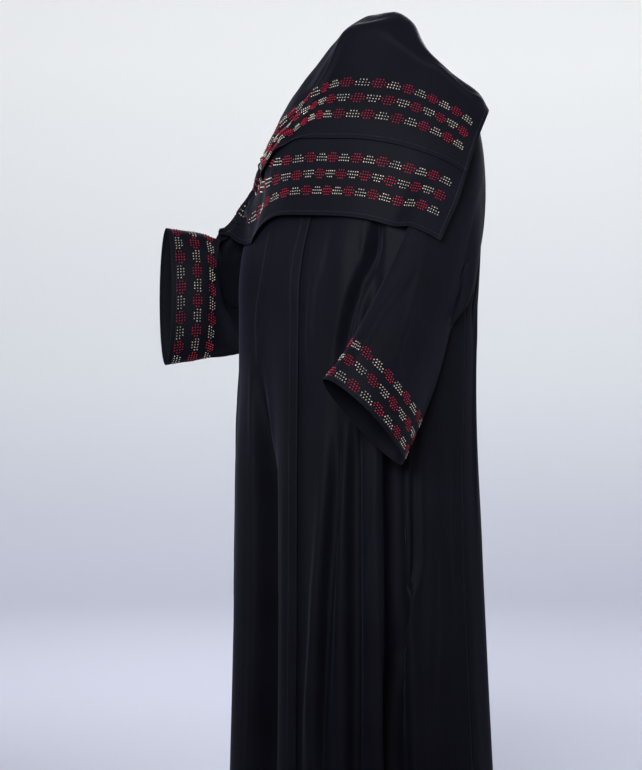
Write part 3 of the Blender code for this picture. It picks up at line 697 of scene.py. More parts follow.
ROBE_CREASES = as_creases(
    # right front
    (0.012, 0.005, 1.5, 0.25, (-23.5, -0.29), (-22.2, -0.35), (-23.5, -0.42), (-26, -0.46), (-27.3, -0.5),
     (-29, -0.6)),
    (0.007, 0.003, 2, 0.35, (-23.5, -0.45), (-23.5, -0.5), (-27.3, -0.54), (-30, -0.61)),
    (0.01, 0.0026, 1, 0.4, (-5.5, -0.32), (-4, -0.39), (-3, -0.5)),
    (0.02, -0.032, 1, 0.18, (-28, -0.54), (-27, -0.71), (-25.3, -0.82), (-24.5, -0.93), (-24, -1.05), (-23.6, -1.17),
     (-23.2, -1.28), (-22.5, -1.56)),
    (0.042, -0.026, 1, 0.22, (-25, -0.66), (-23, -0.93), (-22, -1.17), (-21, -1.62)),
    (0.014, 0.006, 1.3, 0.2, (-33, -0.52), (-32.5, -0.7), (-31.5, -0.9), (-31, -1.1), (-31.5, -1.5)),
    (0.008, 0.0016, 1.3, 0.4, (-9, -0.74), (-8, -0.98), (-7, -1.32)),
    (0.0035, 0.002, 1.2, 0.35, (-39, -1.136), (-31, -1.128), (-26, -1.112)),
    (0.0035, 0.0015, 1.2, 0.35, (-39, -1.152), (-34, -1.147), (-28.5, -1.136)),
    (0.012, 0.004, 1.5, 0.3, (-50, -0.52), (-54, -0.7), (-55, -0.9), (-52, -1.12)),
    (0.014, -0.0045, 1.2, 0.3, (-66, -0.55), (-67, -0.8), (-64, -1.05), (-65, -1.34)),
    (0.01, 0.0035, 1.5, 0.35, (-76, -0.56), (-74, -0.76), (-77, -1.02)),
    # left front, above the underarm
    (0.01, 0.0045, 1.4, 0.3, (10.5, -0.28), (10.4, -0.35), (9.5, -0.39), (6.7, -0.43), (5.3, -0.52), (5, -0.62)),
    (0.03, 0.006, 1, 0.3, (20.2, -0.28), (21, -0.36), (21.4, -0.42), (21, -0.5), (20.2, -0.6)),
    (0.008, 0.0035, 1.3, 0.3, (29.2, -0.28), (30.2, -0.36), (30.2, -0.42), (29, -0.48), (26, -0.58)),
    (0.021, -0.012, 1, 0.3, (37, -0.26), (36.5, -0.35), (35.5, -0.42), (34, -0.5), (32, -0.6)),
    (0.016, -0.028, 1, 0.25, (37, -0.26), (35.5, -0.35), (30.5, -0.41), (25.5, -0.47), (21.8, -0.54), (20, -0.64)),
    # left front, the skirt
    (0.018, 0.011, 1, 0.22, (15.5, -0.64), (14.6, -0.81), (13.2, -0.9), (11.4, -0.98), (10, -1.07), (8.4, -1.15),
     (7, -1.24), (5.2, -1.52)),
    (0.015, -0.019, 1, 0.2, (19.5, -0.62), (19.2, -0.76), (17.4, -0.88), (15.8, -0.98), (14.8, -1.07), (13.8, -1.16),
     (12.8, -1.3), (12.5, -1.54)),
    (0.015, 0.0055, 1, 0.25, (22.6, -0.64), (22.4, -0.9), (20.4, -1.06), (19.4, -1.22), (18.6, -1.5)),
    (0.016, -0.019, 1, 0.2, (28, -0.6), (27.8, -0.78), (27.6, -0.95), (27.2, -1.12), (26.6, -1.3), (26.2, -1.54)),
    (0.0055, 0.0028, 1.3, 0.3, (37.8, -0.72), (37.4, -0.83), (34.9, -0.9), (32.4, -0.96), (32.8, -1)),
    (0.009, 0.004, 1.4, 0.2, (38.4, -0.64), (38.4, -0.78), (38.4, -0.95), (38.8, -1.1), (39.2, -1.3), (39.5, -1.46)),
    (0.022, -0.026, 1, 0.18, (46.5, -0.5), (46, -0.7), (46, -0.9), (45.5, -1.05), (44, -1.2), (43, -1.52)),
    (0.006, 0.0032, 1.4, 0.35, (52.4, -0.7), (52.2, -0.8), (53, -0.94)),
    (0.005, 0.002, 1.3, 0.4, (48.5, -0.76), (49, -0.84), (51, -0.92)),
    (0.007, 0.0052, 1.3, 0.12, (60.5, -0.62), (59.9, -0.77), (59.9, -0.9), (57.4, -0.955), (53.8, -0.985),
     (52.4, -1.026), (49.9, -1.086), (50.1, -1.117), (48.6, -1.147), (46.6, -1.29), (46, -1.46)),
    (0.013, -0.013, 1, 0.15, (57, -0.66), (56.6, -0.78), (56.6, -0.9), (54.4, -0.955), (50.8, -0.985), (49.2, -1.03),
     (46.8, -1.086), (47, -1.12), (45.4, -1.15), (43.6, -1.29), (43, -1.46)),
    (0.004, 0.002, 1.2, 0.35, (45.5, -1.116), (49, -1.108), (53, -1.11)),
    (0.013, -0.0026, 1, 0.3, (68.6, -0.84), (68.6, -0.94), (66.3, -1.07), (63.8, -1.15), (65, -1.2)),
    (0.012, 0.0026, 1.2, 0.35, (78, -0.62), (77, -0.84), (79, -1.06)),
    # back, from the wearer's left to right
    (0.008, -0.0034, 1.4, 0.35, (101, -0.33), (98, -0.42), (99.5, -0.54)),
    (0.012, 0.004, 1.4, 0.3, (106, -0.4), (104, -0.62), (107, -0.92)),
    (0.011, -0.004, 1.3, 0.3, (123, -0.46), (122, -0.74), (124, -1.02), (122, -1.44)),
    (0.01, 0.0042, 1.4, 0.3, (143, -0.38), (145, -0.66), (143, -0.88)),
    (0.012, -0.0046, 1.3, 0.25, (162, -0.52), (161, -0.8), (163, -1.1), (162, -1.46)),
    (0.009, 0.0038, 1.4, 0.3, (181, -0.6), (180, -0.84), (182, -1)),
    (0.012, -0.0044, 1.3, 0.3, (200, -0.44), (201, -0.74), (199, -1.06), (200, -1.4)),
    (0.01, 0.004, 1.4, 0.3, (219, -0.56), (220, -0.8), (218, -1.12)),
    (0.012, -0.0042, 1.3, 0.3, (239, -0.5), (240, -0.78), (238, -1.24)),
    (0.009, 0.0036, 1.4, 0.35, (262, -0.4), (259, -0.58), (262, -0.8)),
)
LEFT_SLEEVE_CREASES = as_creases(
    (0.016, 0.0042, 1.3, 0.25, (10, 0.32), (18, 0.256), (30, 0.173), (36, 0.091), (37, 0.05)),
    (0.012, 0.0034, 1.4, 0.3, (12, 0.34), (9, 0.307), (-3, 0.198), (-6, 0.143), (-8, 0.08)),
    (0.022, -0.0034, 1, 0.3, (-8, 0.33), (-18, 0.25), (-22, 0.15), (-24, 0.08)),
    (0.006, -0.0034, 1.3, 0.3, (-112, 0.41), (-92, 0.38), (-66, 0.34)),
    (0.007, 0.0036, 1.3, 0.3, (-100, 0.37), (-74, 0.32), (-60, 0.25)),
    (0.01, -0.004, 1.3, 0.3, (118, 0.3), (96, 0.24), (84, 0.15)),
    (0.009, 0.0036, 1.3, 0.3, (150, 0.26), (130, 0.19), (126, 0.1)),
    (0.012, -0.0036, 1.2, 0.3, (-150, 0.26), (-134, 0.18), (-132, 0.09)),
)
RIGHT_SLEEVE_CREASES = as_creases(
    (0.07, -0.023, 1, 0.3, (90, 0.06), (76, 0.12), (62, 0.18), (50, 0.25), (38, 0.31)),
    (0.014, -0.0042, 1.2, 0.3, (100, 0.12), (110, 0.16), (128, 0.21)),
    (0.012, -0.004, 1.2, 0.3, (150, 0.13), (168, 0.16), (184, 0.22)),
    (0.014, 0.0034, 1.2, 0.3, (128, 0.05), (150, 0.1), (176, 0.13), (200, 0.18)),
    (0.01, 0.0036, 1.3, 0.3, (60, 0.08), (72, 0.15), (96, 0.22)),
    (0.01, -0.0034, 1.3, 0.3, (-60, 0.06), (-68, 0.14), (-84, 0.22)),
    (0.012, 0.0036, 1.3, 0.3, (-100, 0.07), (-104, 0.14), (-118, 0.2)),
)

# Both layers of the veil, then the upper one alone
VEIL_CREASES = as_creases(
    (0.022, -0.0075, 1, 0.2, (-0.03, -0.02), (-0.04, -0.07), (-0.058, -0.11), (-0.08, -0.16), (-0.1, -0.2)),
    (0.035, -0.005, 1, 0.3, (-0.05, -0.02), (0, -0.03), (0.05, -0.01)),
    (0.005, 0.0016, 1.2, 0.3, (-0.03, -0.046), (0, -0.052), (0.03, -0.046), (0.052, -0.02)),
    (0.095, -0.056, 1, 0.45, (0.08, 0.006), (0.14, 0.004), (0.2, -0.004), (0.245, -0.024), (0.29, -0.06)),
    (0.1, -0.03, 1, 0.25, (-0.255, -0.33), (-0.3, -0.4), (-0.34, -0.47), (-0.38, -0.56)),
    (0.003, 0.001, 1, 0.15, (-0.012, -0.26), (-0.028, -0.32), (-0.04, -0.36), (-0.03, -0.435)),
    (0.006, 0.0036, 1.2, 0.3, (-0.164, -0.325), (-0.176, -0.352), (-0.186, -0.385)),
    # where it hangs down the back
    (0.02, 0.006, 1, 0.2, (-0.165, 0.21), (-0.235, 0.3), (-0.32, 0.41), (-0.38, 0.49)),
    (0.022, -0.008, 1, 0.2, (-0.095, 0.23), (-0.14, 0.34), (-0.19, 0.46), (-0.232, 0.575)),
    (0.018, 0.006, 1, 0.2, (-0.04, 0.27), (-0.055, 0.37), (-0.07, 0.48), (-0.085, 0.6)),
    (0.018, -0.008, 1, 0.2, (0.02, 0.24), (0.036, 0.36), (0.048, 0.48), (0.06, 0.6)),
    (0.018, 0.0065, 1, 0.2, (0.085, 0.25), (0.115, 0.35), (0.15, 0.46), (0.19, 0.58)),
    (0.018, -0.007, 1, 0.2, (0.14, 0.22), (0.19, 0.3), (0.26, 0.41), (0.3, 0.48)),
    (0.012, 0.004, 1.2, 0.3, (0.17, 0.1), (0.23, 0.17), (0.295, 0.27)),
    (0.014, -0.004, 1.2, 0.3, (-0.2, 0.08), (-0.28, 0.14), (-0.39, 0.22)),
    (0.012, 0.004, 1.2, 0.3, (-0.23, 0.16), (-0.31, 0.24), (-0.42, 0.34)),
)
UPPER_CREASES = as_creases(
    (0.011, 0.006, 1.3, 0.1, (-0.01, -0.055), (-0.022, -0.095), (-0.034, -0.15), (-0.048, -0.185), (-0.067, -0.22),
     (-0.088, -0.258), (-0.125, -0.292), (-0.172, -0.335), (-0.225, -0.38)),
    (0.01, 0.004, 1.3, 0.15, (0.015, -0.055), (0.042, -0.077), (0.09, -0.097), (0.132, -0.106), (0.172, -0.102),
     (0.212, -0.112), (0.252, -0.118), (0.29, -0.075)),
    (0.018, 0.005, 1, 0.25, (-0.12, -0.3), (-0.16, -0.33), (-0.205, -0.35), (-0.25, -0.37)),
)

# How far down its form the cloth of the veil has slid on the wearer's right, where it bunches along a fold:
# the place across the form, and the slide of the first, middle and last row of stones and of the hem there
Slide = namedtuple("Slide", "across first middle last hem")
UPPER_SLIDES = (
    Slide(-0.455, 0.090, 0.090, 0.090, 0.090),
    Slide(-0.350, 0.130, 0.116, 0.102, 0.086),
    Slide(-0.250, 0.158, 0.136, 0.114, 0.084),
    Slide(-0.200, 0.128, 0.110, 0.090, 0.056),
    Slide(-0.150, 0.088, 0.075, 0.058, 0.024),
    Slide(-0.100, 0.061, 0.051, 0.036, 0.004),
    Slide(-0.050, 0.019, 0.014, 0.006, 0.000),
    Slide(-0.010, 0.000, 0.000, 0.000, 0.000),
    Slide(0.050, 0.000, 0.000, 0.000, 0.000),
)
LOWER_SLIDES = (
    Slide(-0.455, 0.010, 0.018, 0.022, 0.006),
    Slide(-0.380, 0.024, 0.044, 0.058, 0.040),
    Slide(-0.300, 0.020, 0.040, 0.057, 0.050),
    Slide(-0.250, 0.011, 0.025, 0.036, 0.036),
    Slide(-0.200, 0.005, 0.014, 0.020, 0.013),
    Slide(-0.150, 0.005, 0.008, 0.009, 0.001),
    Slide(-0.100, 0.004, 0.005, 0.003, 0.000),
    Slide(-0.040, 0.000, 0.000, 0.000, 0.000),
    Slide(0.050, 0.000, 0.000, 0.000, 0.000),
)
SLIDE_STARTS = ((0.12, 0.0), (0.0, 0.08), (-0.09, 0.45))   # place along, share of the first row's slide

# Where the columns of each layer lie across the form: place in the flat cloth, place on the form
UPPER_ACROSS = ((-0.455, -0.435), (-0.330, -0.255), (-0.270, -0.205), (-0.211, -0.150), (-0.155, -0.100),
                (-0.012, -0.012), (0.050, 0.050), (0.305, 0.305))


LOWER_ACROSS = ((-0.455, -0.455), (-0.300, -0.325), (-0.240, -0.268), (-0.184, -0.219), (-0.041, -0.041),
                (0.050, 0.050), (0.305, 0.305))


BUNCH_RISE = 0.0045            # of the small folds that carry the upper layer's rows down the wearer's right
BUNCH_BAND = 0.014             # beyond the outer rows
BUNCH_START = (-0.42, -0.30)   # places across the form between which they begin
BUNCH_END = (-0.115, -0.045)   # and between which they end


def crease_rise(a, b, creases, scale=1.0):
    """Sum of creases at places of a cloth. scale turns the first coordinate into metres."""
    total = np.zeros(np.shape(a))
    a = np.asarray(a) * scale
    for crease in creases:
        knots = np.array([(x * scale, y) for x, y in crease.path])
        path = cubic(knots, np.linspace(0, len(knots) - 1, CREASE_STEPS * (len(knots) - 1) + 1), 0)
        low, high = path.min(axis=0) - crease.spread, path.max(axis=0) + crease.spread
        near = (a > low[0]) & (a < high[0]) & (b > low[1]) & (b < high[1])
        if not near.any():
            continue
        x, y = a[near], b[near]
        best, share = np.full(x.shape, np.inf), np.zeros(x.shape)
        for k, (start, end) in enumerate(zip(path, path[1:])):
            line = end - start
            t = np.clip(((x - start[0]) * line[0] + (y - start[1]) * line[1]) / (line @ line), 0, 1)
            away = np.hypot(x - start[0] - t * line[0], y - start[1] - t * line[1])
            closer = away < best
            best, share = np.where(closer, away, best), np.where(closer, (k + t) / (len(path) - 1), share)
        ends = smoothstep(0, crease.ends, share) * smoothstep(0, crease.ends, 1 - share)
        total[near] += crease.rise * smoothstep(0, 1, 1 - best / crease.spread) ** crease.sharp * ends
    return total


def as_grid(rows):
    """Rows of points as an array."""
    return np.array([[tuple(point) for point in row] for row in rows])


def place_in(line, at):
    """Fractional places of values in a line of rising numbers."""
    return np.interp(at, line, range(len(line)))


def hem_rise(distance, width, inside=0.001, outside=0.001):
    """Rise of a turned hem at distances from its edge, which falls away round its width."""
    return HEM_RISE * (1 - smoothstep(width - inside, width + outside, distance))


def robe_cloth(name, angles, rows):
    """One panel of the robe as a fine grid, with its creases, hem and placket."""
    points = as_grid(rows)
    angle = np.broadcast_to(np.array(angles), points.shape[:2])
    angle = np.where((name == "back") & (angle < 0), angle + 360, angle)
    cloth = Cloth(points, angle, points[..., 2])
    rise = crease_rise(angle, points[..., 2], ROBE_CREASES, ROBE_METRES_A_DEGREE)
    rise += hem_rise(points[..., 2] + ROBE_LENGTH, ROBE_HEM, 0.002, 0.002)
    if name == "front_right":
        rise += hem_rise((CLOSURE_ANGLE - angle) * ROBE_METRES_A_DEGREE, PLACKET_WIDTH, 0.001, 0.002)
    cloth.move_out(rise)
    return cloth


def sleeve_cloth(rows, flip, creases):
    """A sleeve as a fine grid, with its creases and cuff hem. along is the distance from the cuff."""
    coarse = as_grid(rows)
    count = coarse.shape[1]
    length = float(np.linalg.norm(np.diff(coarse, axis=0), axis=2).sum(axis=0).mean())
    from_cuff = steps_with_edges(0.0, length, SLEEVE_FINE_STEP, CUFF_ROWS, False)
    places = (len(coarse) - 1) * (1 - from_cuff / length)
    columns = np.arange(count * SLEEVE_TIMES_ROUND) / SLEEVE_TIMES_ROUND
    points = cubic(cubic(coarse, columns, 1, closed=True), places[::-1], 0)
    steps = np.linalg.norm(np.diff(points, axis=0), axis=2)
    distance = np.concatenate([np.cumsum(steps[::-1], axis=0)[::-1], np.zeros((1, points.shape[1]))])
    turn = np.broadcast_to((columns * 360 / count + 180) % 360 - 180, distance.shape)
    cloth = Cloth(points, turn, distance, True, flip)
    rise = sum(crease_rise(angle, distance, creases, SLEEVE_METRES_A_DEGREE) for angle in (turn, turn + 360))
    cloth.move_out(rise + hem_rise(distance, CUFF_HEM))
    return cloth


def with_ends(values):
    """Values with one more at each end, straight on from the last two."""
    return np.concatenate([[2 * values[0] - values[1]], values, [2 * values[-1] - values[-2]]])


def cubic_columns(values, places):
    """Values down each column of a grid at that column's own fractional places."""
    low = np.clip(np.floor(places).astype(int), 0, len(values) - 2)
    wide = with_ends(values)
    four = (np.take_along_axis(wide, (low + k)[..., None], axis=0) for k in range(4))
    return curve_between(*four, (places - low)[..., None])


def veil_form(coarse_rows, fine_skin):
    """Fine grid of the form that both layers of the veil follow, clear of the robe and longer than the veil."""
    under = skin(*((coarse_rows[name], name.startswith("sleeve"), name == "sleeve_right")
                   for name in coarse_rows))
    lines, columns = veil_lines(), veil_columns()
    step = lines[1] - lines[0]
    lines = [*(lines[0] - k * step for k in (3, 2, 1)), *lines]
    coarse = as_grid([resting_point(u, v, under) for u in columns] for v in lines)
    across = np.linspace(-VEIL_RIGHT, VEIL_LEFT, round((VEIL_LEFT + VEIL_RIGHT) / VEIL_FINE_STEP) + 1)
    along = np.linspace(lines[0], lines[-1], round((lines[-1] - lines[0]) / VEIL_FINE_STEP) + 1)
    points = cubic(cubic(coarse, place_in(lines, along), 0), place_in(columns, across), 1)
    form = Cloth(points, *np.meshgrid(across, along))
    form.move_out(crease_rise(form.across, form.along, VEIL_CREASES))
    form.move_out(clearance_lift(form, fine_skin, PRESS_REACH))
    form.points = eased(form.points, VEIL_EASE)
    form.move_out(clearance_lift(form, fine_skin))
    return form


def veil_layer(form, front, along, across_table, slides):
    """One layer of the veil laid on the form, in its own cloth coordinates, and its places on the form."""
    across = steps_with_edges(-VEIL_RIGHT, VEIL_LEFT, VEIL_FINE_STEP, VEIL_EDGE_ROWS)
    form_across = np.array([hermite(*zip(*across_table), at) for at in across])
    rows = [-front + VEIL_FIRST_ROW + ROW_PITCH * k for k in (2, 1, 0)] + [-front]
    keys = [*(place for place, _ in SLIDE_STARTS), *rows][::-1]
    form_along = np.empty((len(along), len(across)))
    for i, at in enumerate(form_across):
        slid = [table_value(slides, "across", column, at) for column in Slide._fields[1:]]
        values = [*(share * slid[0] for _, share in SLIDE_STARTS), *slid][::-1]
        form_along[:, i] = [place - hermite(keys, values, place) for place in along]
    points = cubic(form.points, place_in(form.across[0], form_across), 1)
    points = cubic_columns(points, place_in(form.along[:, 0], form_along))
    layer = Cloth(points, *np.meshgrid(across, along))
    return layer, np.broadcast_to(form_across, form_along.shape), form_along


def veil_hem_rise(layer, front):
    """Rise of the turned hem along a veil layer's sides and its front edge."""
    from_side = np.minimum(layer.across + VEIL_RIGHT, VEIL_LEFT - layer.across)
    return hem_rise(np.minimum(from_side, layer.along + front), VEIL_HEM, 0.0015, 0.0005)


def veil_cloths(coarse_rows, fine_skin):
    """The two layers of the veil as fine grids, clear of the fine cloth under them."""
    form = veil_form(coarse_rows, fine_skin)
    along = steps_with_edges(-LOWER_FRONT, VEIL_BACK, VEIL_FINE_STEP, VEIL_EDGE_ROWS)
    lower, _, _ = veil_layer(form, LOWER_FRONT, along, LOWER_ACROSS, LOWER_SLIDES)
    lower.move_out(veil_hem_rise(lower, LOWER_FRONT))

    dense = steps_with_edges(-UPPER_FRONT, BAND_END, VEIL_ROW_STEP, VEIL_EDGE_ROWS, False)
    along = np.concatenate([dense, steps_with_edges(BAND_END, VEIL_BACK, VEIL_FINE_STEP, ())[1:]])
    upper, form_u, form_v = veil_layer(form, UPPER_FRONT, along, UPPER_ACROSS, UPPER_SLIDES)
    to_fold = smoothstep(VEIL_BACK - VEIL_STEP, VEIL_BACK, upper.along)
    lift = VEIL_LAYER_STEP + (VEIL_FOLD_STEP - VEIL_LAYER_STEP) * to_fold
    lift = lift + crease_rise(form_u, form_v, UPPER_CREASES)
    first = -UPPER_FRONT + VEIL_FIRST_ROW
    last = first + 2 * ROW_PITCH
    wave = 0.5 + 0.5 * np.cos(2 * math.pi * (upper.along - first) / ROW_PITCH)
    band = smoothstep(first - BUNCH_BAND, first, upper.along) * (1 - smoothstep(last, last + BUNCH_BAND, upper.along))
    lift += BUNCH_RISE * wave * band * smoothstep(*BUNCH_START, form_u) * (1 - smoothstep(*BUNCH_END, form_u))
    upper.move_out(lift + veil_hem_rise(upper, UPPER_FRONT))
    return upper, lower


def clearance_lift(cloth, under, reach=REST_REACH):
    """How far a cloth has to move out to lie clear of what is under it, eased over its neighbours."""
    normals = cloth.normals()
    lift = np.zeros(cloth.points.shape[:2])
    for j, i in np.ndindex(lift.shape):
        outward = Vector(normals[j, i])
        start = Vector(cloth.points[j, i]) + outward * reach
        distance = under.ray_cast(start, -outward, reach + LEAST_CLEARANCE + CLOTH_THICKNESS)[3]
        if distance is not None:
            lift[j, i] = max(0.0, reach - distance + LEAST_CLEARANCE + CLOTH_THICKNESS)
    for _ in range(LIFT_EASE):
        lift = np.maximum(lift, eased(lift, 1))
    return lift


def eased(grid, times):
    """A grid of values or points, drawn towards the middle of its neighbours."""
    for _ in range(times):
        wide = np.pad(grid, [(1, 1), (1, 1)] + [(0, 0)] * (grid.ndim - 2), mode="reflect", reflect_type="odd")
        grid = 0.5 * grid + 0.125 * (wide[:-2, 1:-1] + wide[2:, 1:-1] + wide[1:-1, :-2] + wide[1:-1, 2:])
    return grid


def settings(made, **values):
    """A shader node with values set on it or on its sockets, by name."""
    for key, value in values.items():
        if hasattr(made, key):
            setattr(made, key, value)
        else:
            made.inputs[key.replace("_", " ")].default_value = value
    return made


def node(tree, kind, **values):
    """New shader node with values on its sockets."""
    return settings(tree.nodes.new(kind), **values)


def join(tree, *links):
    """Links between nodes, each given as a node, its output, the next node and its input."""
    for source, output, target, socket in links:
        tree.links.new(source.outputs[output], target.inputs[socket])


def colour_ramp(tree, low, high, *between):
    """Colour ramp through stops, each a position and a colour."""
    made = node(tree, "ShaderNodeValToRGB")
    elements = made.color_ramp.elements
    for element, (position, colour) in zip(elements, (low, high)):
        element.position = position
        element.color = (*colour, 1)
    for position, colour in between:
        elements.new(position).color = (*colour, 1)
    return made


def new_material(name, **looks):
    """New material, its node tree and its shader, with values on the shader's sockets."""
    material = bpy.data.materials.new(name)
    material.use_nodes = True
    tree = material.node_tree
    return material, tree, settings(tree.nodes["Principled BSDF"], **looks)


def toned_material(name, kind, output, values, stops, **looks):
    """Material whose colour follows a texture through a ramp, with its tree, shader, coordinates and texture."""
    material, tree, shader = new_material(name, **looks)
    place = node(tree, "ShaderNodeTexCoord")
    texture = node(tree, kind, **values)
    tone = colour_ramp(tree, *stops)
    join(tree, (place, "Object", texture, "Vector"), (texture, output, tone, "Fac"),
         (tone, "Color", shader, "Base Color"))
    return material, tree, shader, place, texture


def crepe_material():
    """Navy-black crepe: a fine pebbled grain, a soft sheen and faint unevenness."""
    material, tree, shader, place, cloudy = toned_material(
        "crepe", "ShaderNodeTexNoise", "Fac", {"Scale": 9.0, "Detail": 3.0, "Roughness": 0.5},
        ((0.3, (0.0016, 0.0016, 0.0035)), (0.7, (0.0028, 0.0028, 0.0058))),
        Sheen_Weight=0.04, Sheen_Roughness=0.45, Sheen_Tint=(0.45, 0.50, 0.80, 1), Specular_IOR_Level=0.06)
    grain = node(tree, "ShaderNodeTexNoise", Scale=1300.0, Detail=3.0, Roughness=0.6)
    pebble = node(tree, "ShaderNodeTexVoronoi", Scale=900.0)
    mixed = node(tree, "ShaderNodeMath", operation="ADD")
    coarse = node(tree, "ShaderNodeMapRange", To_Min=0.62, To_Max=0.74)
    bump = node(tree, "ShaderNodeBump", Strength=0.35, Distance=0.00025)
    join(tree, (place, "Object", grain, "Vector"), (place, "Object", pebble, "Vector"),
         (cloudy, "Fac", coarse, "Value"), (coarse, "Result", shader, "Roughness"),
         (grain, "Fac", mixed, 0), (pebble, "Distance", mixed, 1),
         (mixed, "Value", bump, "Height"), (bump, "Normal", shader, "Normal"))
    return material


def thread_material(name, colour):
    """Thread, darker and lighter along its twist."""
    stops = [(position, tuple(share * part for part in colour)) for position, share in ((0.0, 0.7), (1.0, 1.3))]
    return toned_material(name, "ShaderNodeTexNoise", "Fac", {"Scale": 2500.0, "Detail": 2.0}, stops,
                          Roughness=0.5)[0]


def stone_material(name, dark, light, metallic):
    """Foiled glass: small shifts of tone from stone to stone."""
    return toned_material(name, "ShaderNodeTexVoronoi", "Color", {"Scale": 160.0}, ((0.0, dark), (1.0, light)),
                          Metallic=metallic, Roughness=0.42, Specular_IOR_Level=0.35)[0]


def snap_metal():
    """Dark painted metal, worn a little on its rim."""
    return toned_material("snap_metal", "ShaderNodeTexNoise", "Fac", {"Scale": 600.0, "Detail": 3.0},
                          ((0.45, (0.06, 0.06, 0.07)), (0.65, (0.45, 0.45, 0.48))),
                          Metallic=1.0, Roughness=0.32)[0]


def add_object(name, data):
    """New object in the scene."""
    item = bpy.data.objects.new(name, data)
    bpy.context.scene.collection.objects.link(item)
    return item


def mesh_object(name, points, faces, material, smooth=True):
    """New object with a mesh of one material."""
    mesh = bpy.data.meshes.new(name)
    mesh.from_pydata([tuple(point) for point in points], [], faces)
    mesh.materials.append(material)
    if smooth:
        mesh.shade_smooth()
    return add_object(name, mesh)


def cloth_object(name, cloth, material, replaced):
    """Visible piece of cloth that stands for a solid."""
    rows, columns = cloth.points.shape[:2]
    faces = grid_faces(rows, columns, cloth.closed, cloth.flip)
    item = mesh_object(name, cloth.points.reshape(-1, 3), faces, material)
    solidify = item.modifiers.new("thickness", "SOLIDIFY")
    solidify.thickness = CLOTH_THICKNESS
    solidify.offset = -1
    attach(item, "root")
    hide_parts(replaced)
    return item


def small_pieces(name, places, outline, faces, material, smooth=False):
    """One mesh of many copies of a small shape: places are points with their normal and direction."""
    points, numbered = [], []
    for point, normal, direction in places:
        side = normal.cross(direction).normalized()
        forward = side.cross(normal)
        base = len(points)
        points += [point + forward * x + side * y + normal * z for x, y, z in outline]
        numbered += [tuple(base + corner for corner in face) for face in faces]
    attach(mesh_object(name, points, numbered, material, smooth), "root")


def stone_shape():
    """Cut stone with a flat back: eight sides, a narrow girdle, a crown and a table."""
    sides = range(STONE_SIDES)
    rings = ((STONE_RADIUS, 0.0), (STONE_RADIUS, GIRDLE_SHARE * STONE_HEIGHT),
             (TABLE_SHARE * STONE_RADIUS, STONE_HEIGHT))
    turns = [2 * math.pi * (k + 0.5) / STONE_SIDES for k in sides]
    outline = [(radius * math.cos(turn), radius * math.sin(turn), z) for radius, z in rings for turn in turns]
    faces = grid_faces(len(rings), STONE_SIDES, True, False)
    return outline, [*faces, tuple(2 * STONE_SIDES + k for k in sides), tuple(reversed(sides))]


def stitch_shape():
    """One stitch: a short thread, pointed where it dips into the cloth."""
    half, radius = 0.5 * STITCH_LENGTH, STITCH_RADIUS
    ring = [(0, 1), (1, 0), (0, -1), (-1, 0)]
    outline = [(-half, 0, 0), (half, 0, 0)]
    outline += [(x, radius * a, radius * (0.9 * b + 0.5)) for x in (-0.5 * half, 0.5 * half) for a, b in ring]
    faces = [(0, 2 + (k + 1) % 4, 2 + k) for k in range(4)]
    faces += [(1, 6 + k, 6 + (k + 1) % 4) for k in range(4)]
    faces += [(2 + k, 2 + (k + 1) % 4, 6 + (k + 1) % 4, 6 + k) for k in range(4)]
    return outline, faces


def cluster_stones(row):
    """Offsets along the row and square to it of every stone in a clear and in a red cluster."""
    short_line = 1 if row % 2 == 0 else -1
    columns = (-2, -1, 0, 1, 2)
    clear = [(STONE_PITCH * column, LINE_PITCH * line) for line in (-1, 0, 1) for column in columns
             if line != short_line or abs(column) < 2]
    red = [(STONE_PITCH * column, RED_LINE_PITCH * line) for line in (-1.5, -0.5, 0.5, 1.5) for column in columns
           if abs(line) < 1 or abs(column) < 2]
    return clear, red


def add_stones(name, places, materials):
    """One mesh of the stones of each colour."""
    for colour, found in places.items():
        small_pieces(f"{name}_{colour}_stones", found, *stone_shape(), materials[colour])


def add_veil_stones(name, cloth, front, materials):
    """Three rows of stones above the front hem of a veil layer."""
    places = {"clear": [], "red": []}
    width = VEIL_LEFT + VEIL_RIGHT - 2 * VEIL_STONE_MARGIN
    clusters = int(width / CLUSTER_PITCH)
    start = -VEIL_RIGHT + VEIL_STONE_MARGIN + 0.5 * (width - (clusters - 1) * CLUSTER_PITCH)
    for row in range(3):
        middle = -front + VEIL_FIRST_ROW + ROW_PITCH * row
        for k in range(clusters):
            turn = (k + row) % 2
            for x, y in cluster_stones(row)[turn]:
                found = cloth.at(place_in(cloth.along[:, 0], middle + y),
                                 place_in(cloth.across[0], start + CLUSTER_PITCH * k + x))
                places["red" if turn else "clear"].append(found)
    add_stones(name, places, materials)


def path_lengths(path):
    """Distance along a path at each of its places, which are points with normal and direction."""
    points = np.array([place[0] for place in path])
    return np.concatenate([[0], np.cumsum(np.linalg.norm(np.diff(points, axis=0), axis=1))])


def cuff_row(cloth, distance, column):
    """Fractional row of a sleeve's grid at a distance from the cuff."""
    return place_in(-cloth.along[:, column], -distance)


def cuff_path(cloth, distance):
    """Closed path round a sleeve at a distance from the cuff."""
    columns = cloth.points.shape[1]
    return [cloth.at(cuff_row(cloth, distance, i % columns), i % columns) for i in range(columns + 1)]


